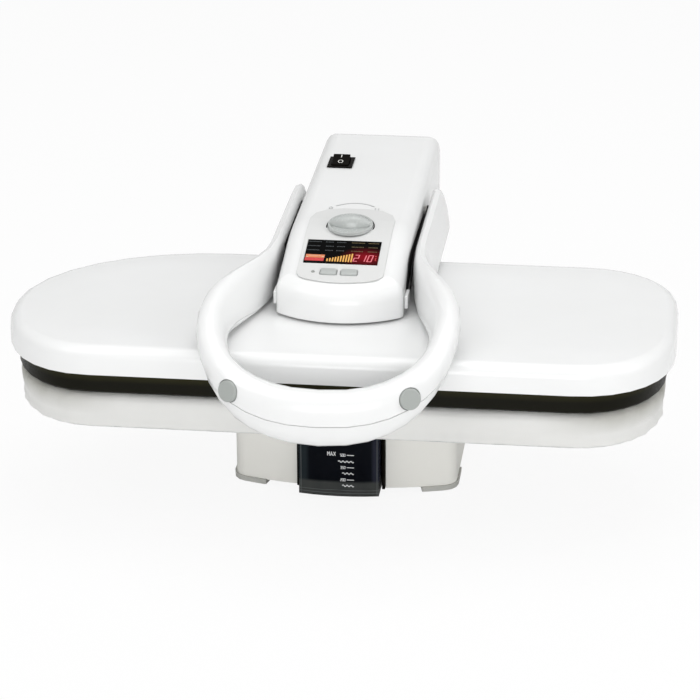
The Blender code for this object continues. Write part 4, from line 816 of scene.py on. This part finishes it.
# Outlines of figures in a box one wide and two high
figures = {
    "0": [([(0, 0), (1, 0), (1, 2), (0, 2)], True)],
    "1": [([(0.6, 0), (0.6, 2)], False)],
    "2": [([(0, 2), (1, 2), (1, 1), (0, 1), (0, 0), (1, 0)], False)],
    "3": [([(0, 2), (1, 2), (1, 0), (0, 0)], False), ([(0.2, 1), (1, 1)], False)],
    "5": [([(1, 2), (0, 2), (0, 1), (1, 1), (1, 0), (0, 0)], False)],
    "M": [([(0, 0), (0, 2), (0.5, 1), (1, 2), (1, 0)], False)],
    "A": [([(0, 0), (0.5, 2), (1, 0)], False), ([(0.22, 0.7), (0.78, 0.7)], False)],
    "X": [([(0, 0), (1, 2)], False), ([(0, 2), (1, 0)], False)],
}


def written(text, left, low, wide, high, gap, width, lean=0.0):
    """Strokes of a word or a number."""
    strokes = []
    for index, letter in enumerate(text):
        start = left + index * (wide + gap)
        for path, closed in figures[letter]:
            strokes.append(([(start + u * wide + v * lean, low + v * high / 2) for u, v in path],
                            width, closed))
    return strokes


def panel_marks():
    """What is lit in the display, and the raised scale over the dial, painted grey as shade."""
    def place(u, v):
        return panel_seat + Vector((u, 0, 0)) * mm + panel_along * v * mm

    def shown(name, strokes, paint, lift=0.06):
        marks(name, strokes, "display_window", place, -panel_up, paint, "head", lift)

    amber = lit("lit_amber", (0.95, 0.48, 0.08), 1.0)
    rose = lit("lit_rose", (1.0, 0.20, 0.25), 1.0)
    orange = lit("lit_orange", (0.92, 0.28, 0.10), 0.9)
    red = lit("lit_red", (0.75, 0.03, 0.03), 0.9)
    pale = lit("lit_pale", (0.95, 0.85, 0.60), 0.8)
    cool = printed("legend_cool", (0.05, 0.06, 0.065))
    warm = printed("legend_warm", (0.12, 0.085, 0.025))
    bars = []
    for k in range(10):
        u = -15.2 + 2.62 * k
        bars.append(([(u, -67.0), (u, -62.3 + 1.13 * k)], 1.5, False))
    shown("display_bars", bars, amber)
    digits = []
    for digit, left in (("2", 10.2), ("1", 18.6), ("0", 23.7)):
        digits += written(digit, left, -65.2, 4.0, 11.0, 0, 1.0, 0.7)
    shown("display_figures", digits, rose)
    degree = [(31.0, -54.6), (32.0, -54.6), (32.0, -55.8), (31.0, -55.8)]
    unit = [(33.0, -58.5), (31.6, -58.5), (31.6, -63.0), (33.0, -63.0)]
    shown("display_unit", [(degree, 0.5, True), (unit, 0.6, False)], red)
    shown("display_pill_upper", [([(-36.9, -58.4), (-18.4, -58.4)], 5.6, False)], orange)
    shown("display_pill_lower", [([(-37.2, -64.1), (-18.6, -64.1)], 5.4, False)], red)
    shown("display_pill_marks", [([(-36.4, -59.8), (-34.4, -59.8)], 0.9, False),
                                 ([(-21.0, -59.4), (-18.8, -59.4)], 1.0, False),
                                 ([(-33.5, -57.6), (-22.5, -57.6)], 0.5, False)], pale, 0.09)
    for name, ink, columns in (("left", cool, ((-37, -24), (-19.7, -11), (-8.7, 0.6))),
                               ("right", warm, ((5.8, 19), (22.4, 33)))):
        dashes = []
        for row, v in enumerate((-32.4, -40.0, -47.6)):
            for start, end in columns:
                u = start + (0.8 if row else 0)
                while u < end - 0.6:
                    dashes.append(([(u, v - 0.7), (u, v + 0.7)], 0.75, False))
                    u += 1.35
        shown("display_legend_" + name, dashes, ink)

    arc = [(u, 51.3 - 0.0246 * (u + 1.5) ** 2) for u in np.linspace(-21.5, 17.0, 24)]
    ring = [(-26.0 + 1.7 * cos(radians(a)), 35.5 + 2.9 * sin(radians(a)))
            for a in range(0, 360, 30)]
    scale = [(arc, 1.1, False), (ring, 0.8, True), ([(18.9, 33.0), (18.9, 39.0)], 1.0, False),
             ([(22.2, 32.6), (22.2, 38.6)], 1.0, False)]
    # Painted shade: the white raised scale is painted grey for the dark line that shade draws along
    # it.
    scale_shade = moulded("raised_scale_shaded", (0.45, 0.46, 0.46), 0.3)
    over_arm = 270
    marks("dial_scale", scale, "arm_upper_shell", lambda u, v: Vector((u, v, over_arm)) * mm,
          Vector((0, 0, -1)), scale_shade, "head", 0.05, 0.35)


def switch_marks():
    """The nought and the one on the rocker."""
    def place(u, v):
        return rocker_seat + Vector((u, v, over_seat)) * mm

    over_seat = 5
    ink = printed("switch_ink", (0.75, 0.74, 0.70))
    way = Vector((0, sin(rocker_lean), -cos(rocker_lean)))
    ring = [(2.4 * cos(radians(a)), -5.2 + 3.3 * sin(radians(a))) for a in range(0, 360, 20)]
    marks("switch_off_mark", [(ring, 0.8, True)], "power_rocker", place, way, ink, "rocker")
    marks("switch_on_mark", [([(0, 3.4), (0, 8.6)], 0.9, False)], "power_rocker", place, way, ink,
          "rocker")


def tank_marks():
    """Level marks printed on the tank's front pane."""
    def place(u, v):
        return Vector((u, before_pane, v)) * mm

    before_pane = -120
    ink = printed("level_ink", (0.78, 0.79, 0.80))
    way = Vector((0, 1, 0))
    strokes = written("MAX", -12.6, 48.4, 2.1, 4.2, 0.9, 0.62)
    for z, text in ((49.3, "500"), (35.9, "350"), (22.6, "200")):
        strokes += written(text, 0.2, z - 1.2, 1.25, 2.6, 0.55, 0.42)
        strokes.append(([(6.6, z + 0.2), (13.8, z + 0.2)], 0.75, False))
    wave_height, wave_length, wave_step = 0.85, 3.9, 0.4
    for start, z in ((-2.0, 42.4), (2.0, 29.6), (2.0, 16.3)):
        wave = []
        u = start
        while u <= 13.8:
            wave.append((u, z + wave_height * sin((u - start) * 2 * pi / wave_length)))
            u += wave_step
        strokes.append((wave, 0.8, False))
    marks("tank_level_marks", strokes, "water_tank", place, way, ink, "tank")


# Lamps: name, place in metres, width in metres and watts, all aimed at the middle of the press
lamps = (("key", (-1.2, -1.5, 2.2), 1.6, 14), ("fill", (2.2, -0.9, 1.3), 1.6, 14),
         ("low", (0.1, -2.6, 0.25), 1.2, 22), ("top", (0.2, 0.1, 2.4), 1.7, 21))
lamp_aim = Vector((0, -0.05, 0.12))
# Strength of the world's light, how white the floor shows to the camera, and how far under the
# feet the floor lies
world_light, floor_white, floor_drop = 0.56, 0.9, 0.2 * mm


def studio():
    """Pale floor and soft plain light."""
    mesh = bpy.data.meshes.new("floor")
    work = bmesh.new()
    bmesh.ops.create_grid(work, x_segments=8, y_segments=8, size=12)
    work.to_mesh(mesh)
    work.free()
    floor = bpy.data.objects.new("floor", mesh)
    floor.location.z = -floor_drop
    scene.collection.objects.link(floor)
    made = Surface("pale_floor", (0.86, 0.86, 0.86), 0.9, Specular_IOR_Level=0.0)
    made.tint(made.grain(3, 2), 0.01)
    output = made.tree.nodes["Material Output"]
    bright = made.add("ShaderNodeEmission")
    bright.inputs["Strength"].default_value = 1.0
    path = made.add("ShaderNodeLightPath")
    either = made.math("MAXIMUM", path.outputs["Is Camera Ray"],
                       path.outputs["Is Transmission Ray"])
    mixed = made.add("ShaderNodeMixShader")
    made.join(made.math("MULTIPLY", either, floor_white), mixed.inputs[0])
    made.join(made.shader.outputs[0], mixed.inputs[1])
    made.join(bright.outputs[0], mixed.inputs[2])
    made.join(mixed.outputs[0], output.inputs["Surface"])
    mesh.materials.append(made.made)

    world = bpy.data.worlds.new("studio")
    scene.world = world
    world.use_nodes = True
    tree = world.node_tree
    back = tree.nodes["Background"]
    path = tree.nodes.new("ShaderNodeLightPath")
    seen = tree.nodes.new("ShaderNodeMath")
    seen.operation = "MAXIMUM"
    tree.links.new(path.outputs["Is Camera Ray"], seen.inputs[0])
    tree.links.new(path.outputs["Is Transmission Ray"], seen.inputs[1])
    level = tree.nodes.new("ShaderNodeMapRange")
    level.inputs["To Min"].default_value = world_light
    level.inputs["To Max"].default_value = 1.0
    tree.links.new(seen.outputs[0], level.inputs["Value"])
    tree.links.new(level.outputs[0], back.inputs["Strength"])
    back.inputs["Color"].default_value = (1, 1, 1, 1)

    for name, spot, size, watts in lamps:
        data = bpy.data.lights.new(name, "AREA")
        data.shape = "SQUARE"
        data.size = size
        data.energy = watts
        lamp = bpy.data.objects.new(name, data)
        lamp.location = spot
        lamp.rotation_euler = (lamp_aim - Vector(spot)).to_track_quat("-Z", "Y").to_euler()
        scene.collection.objects.link(lamp)
    scene.view_settings.view_transform = "Standard"


camera()
carry_over()
board()
panel_marks()
switch_marks()
tank_marks()
studio()
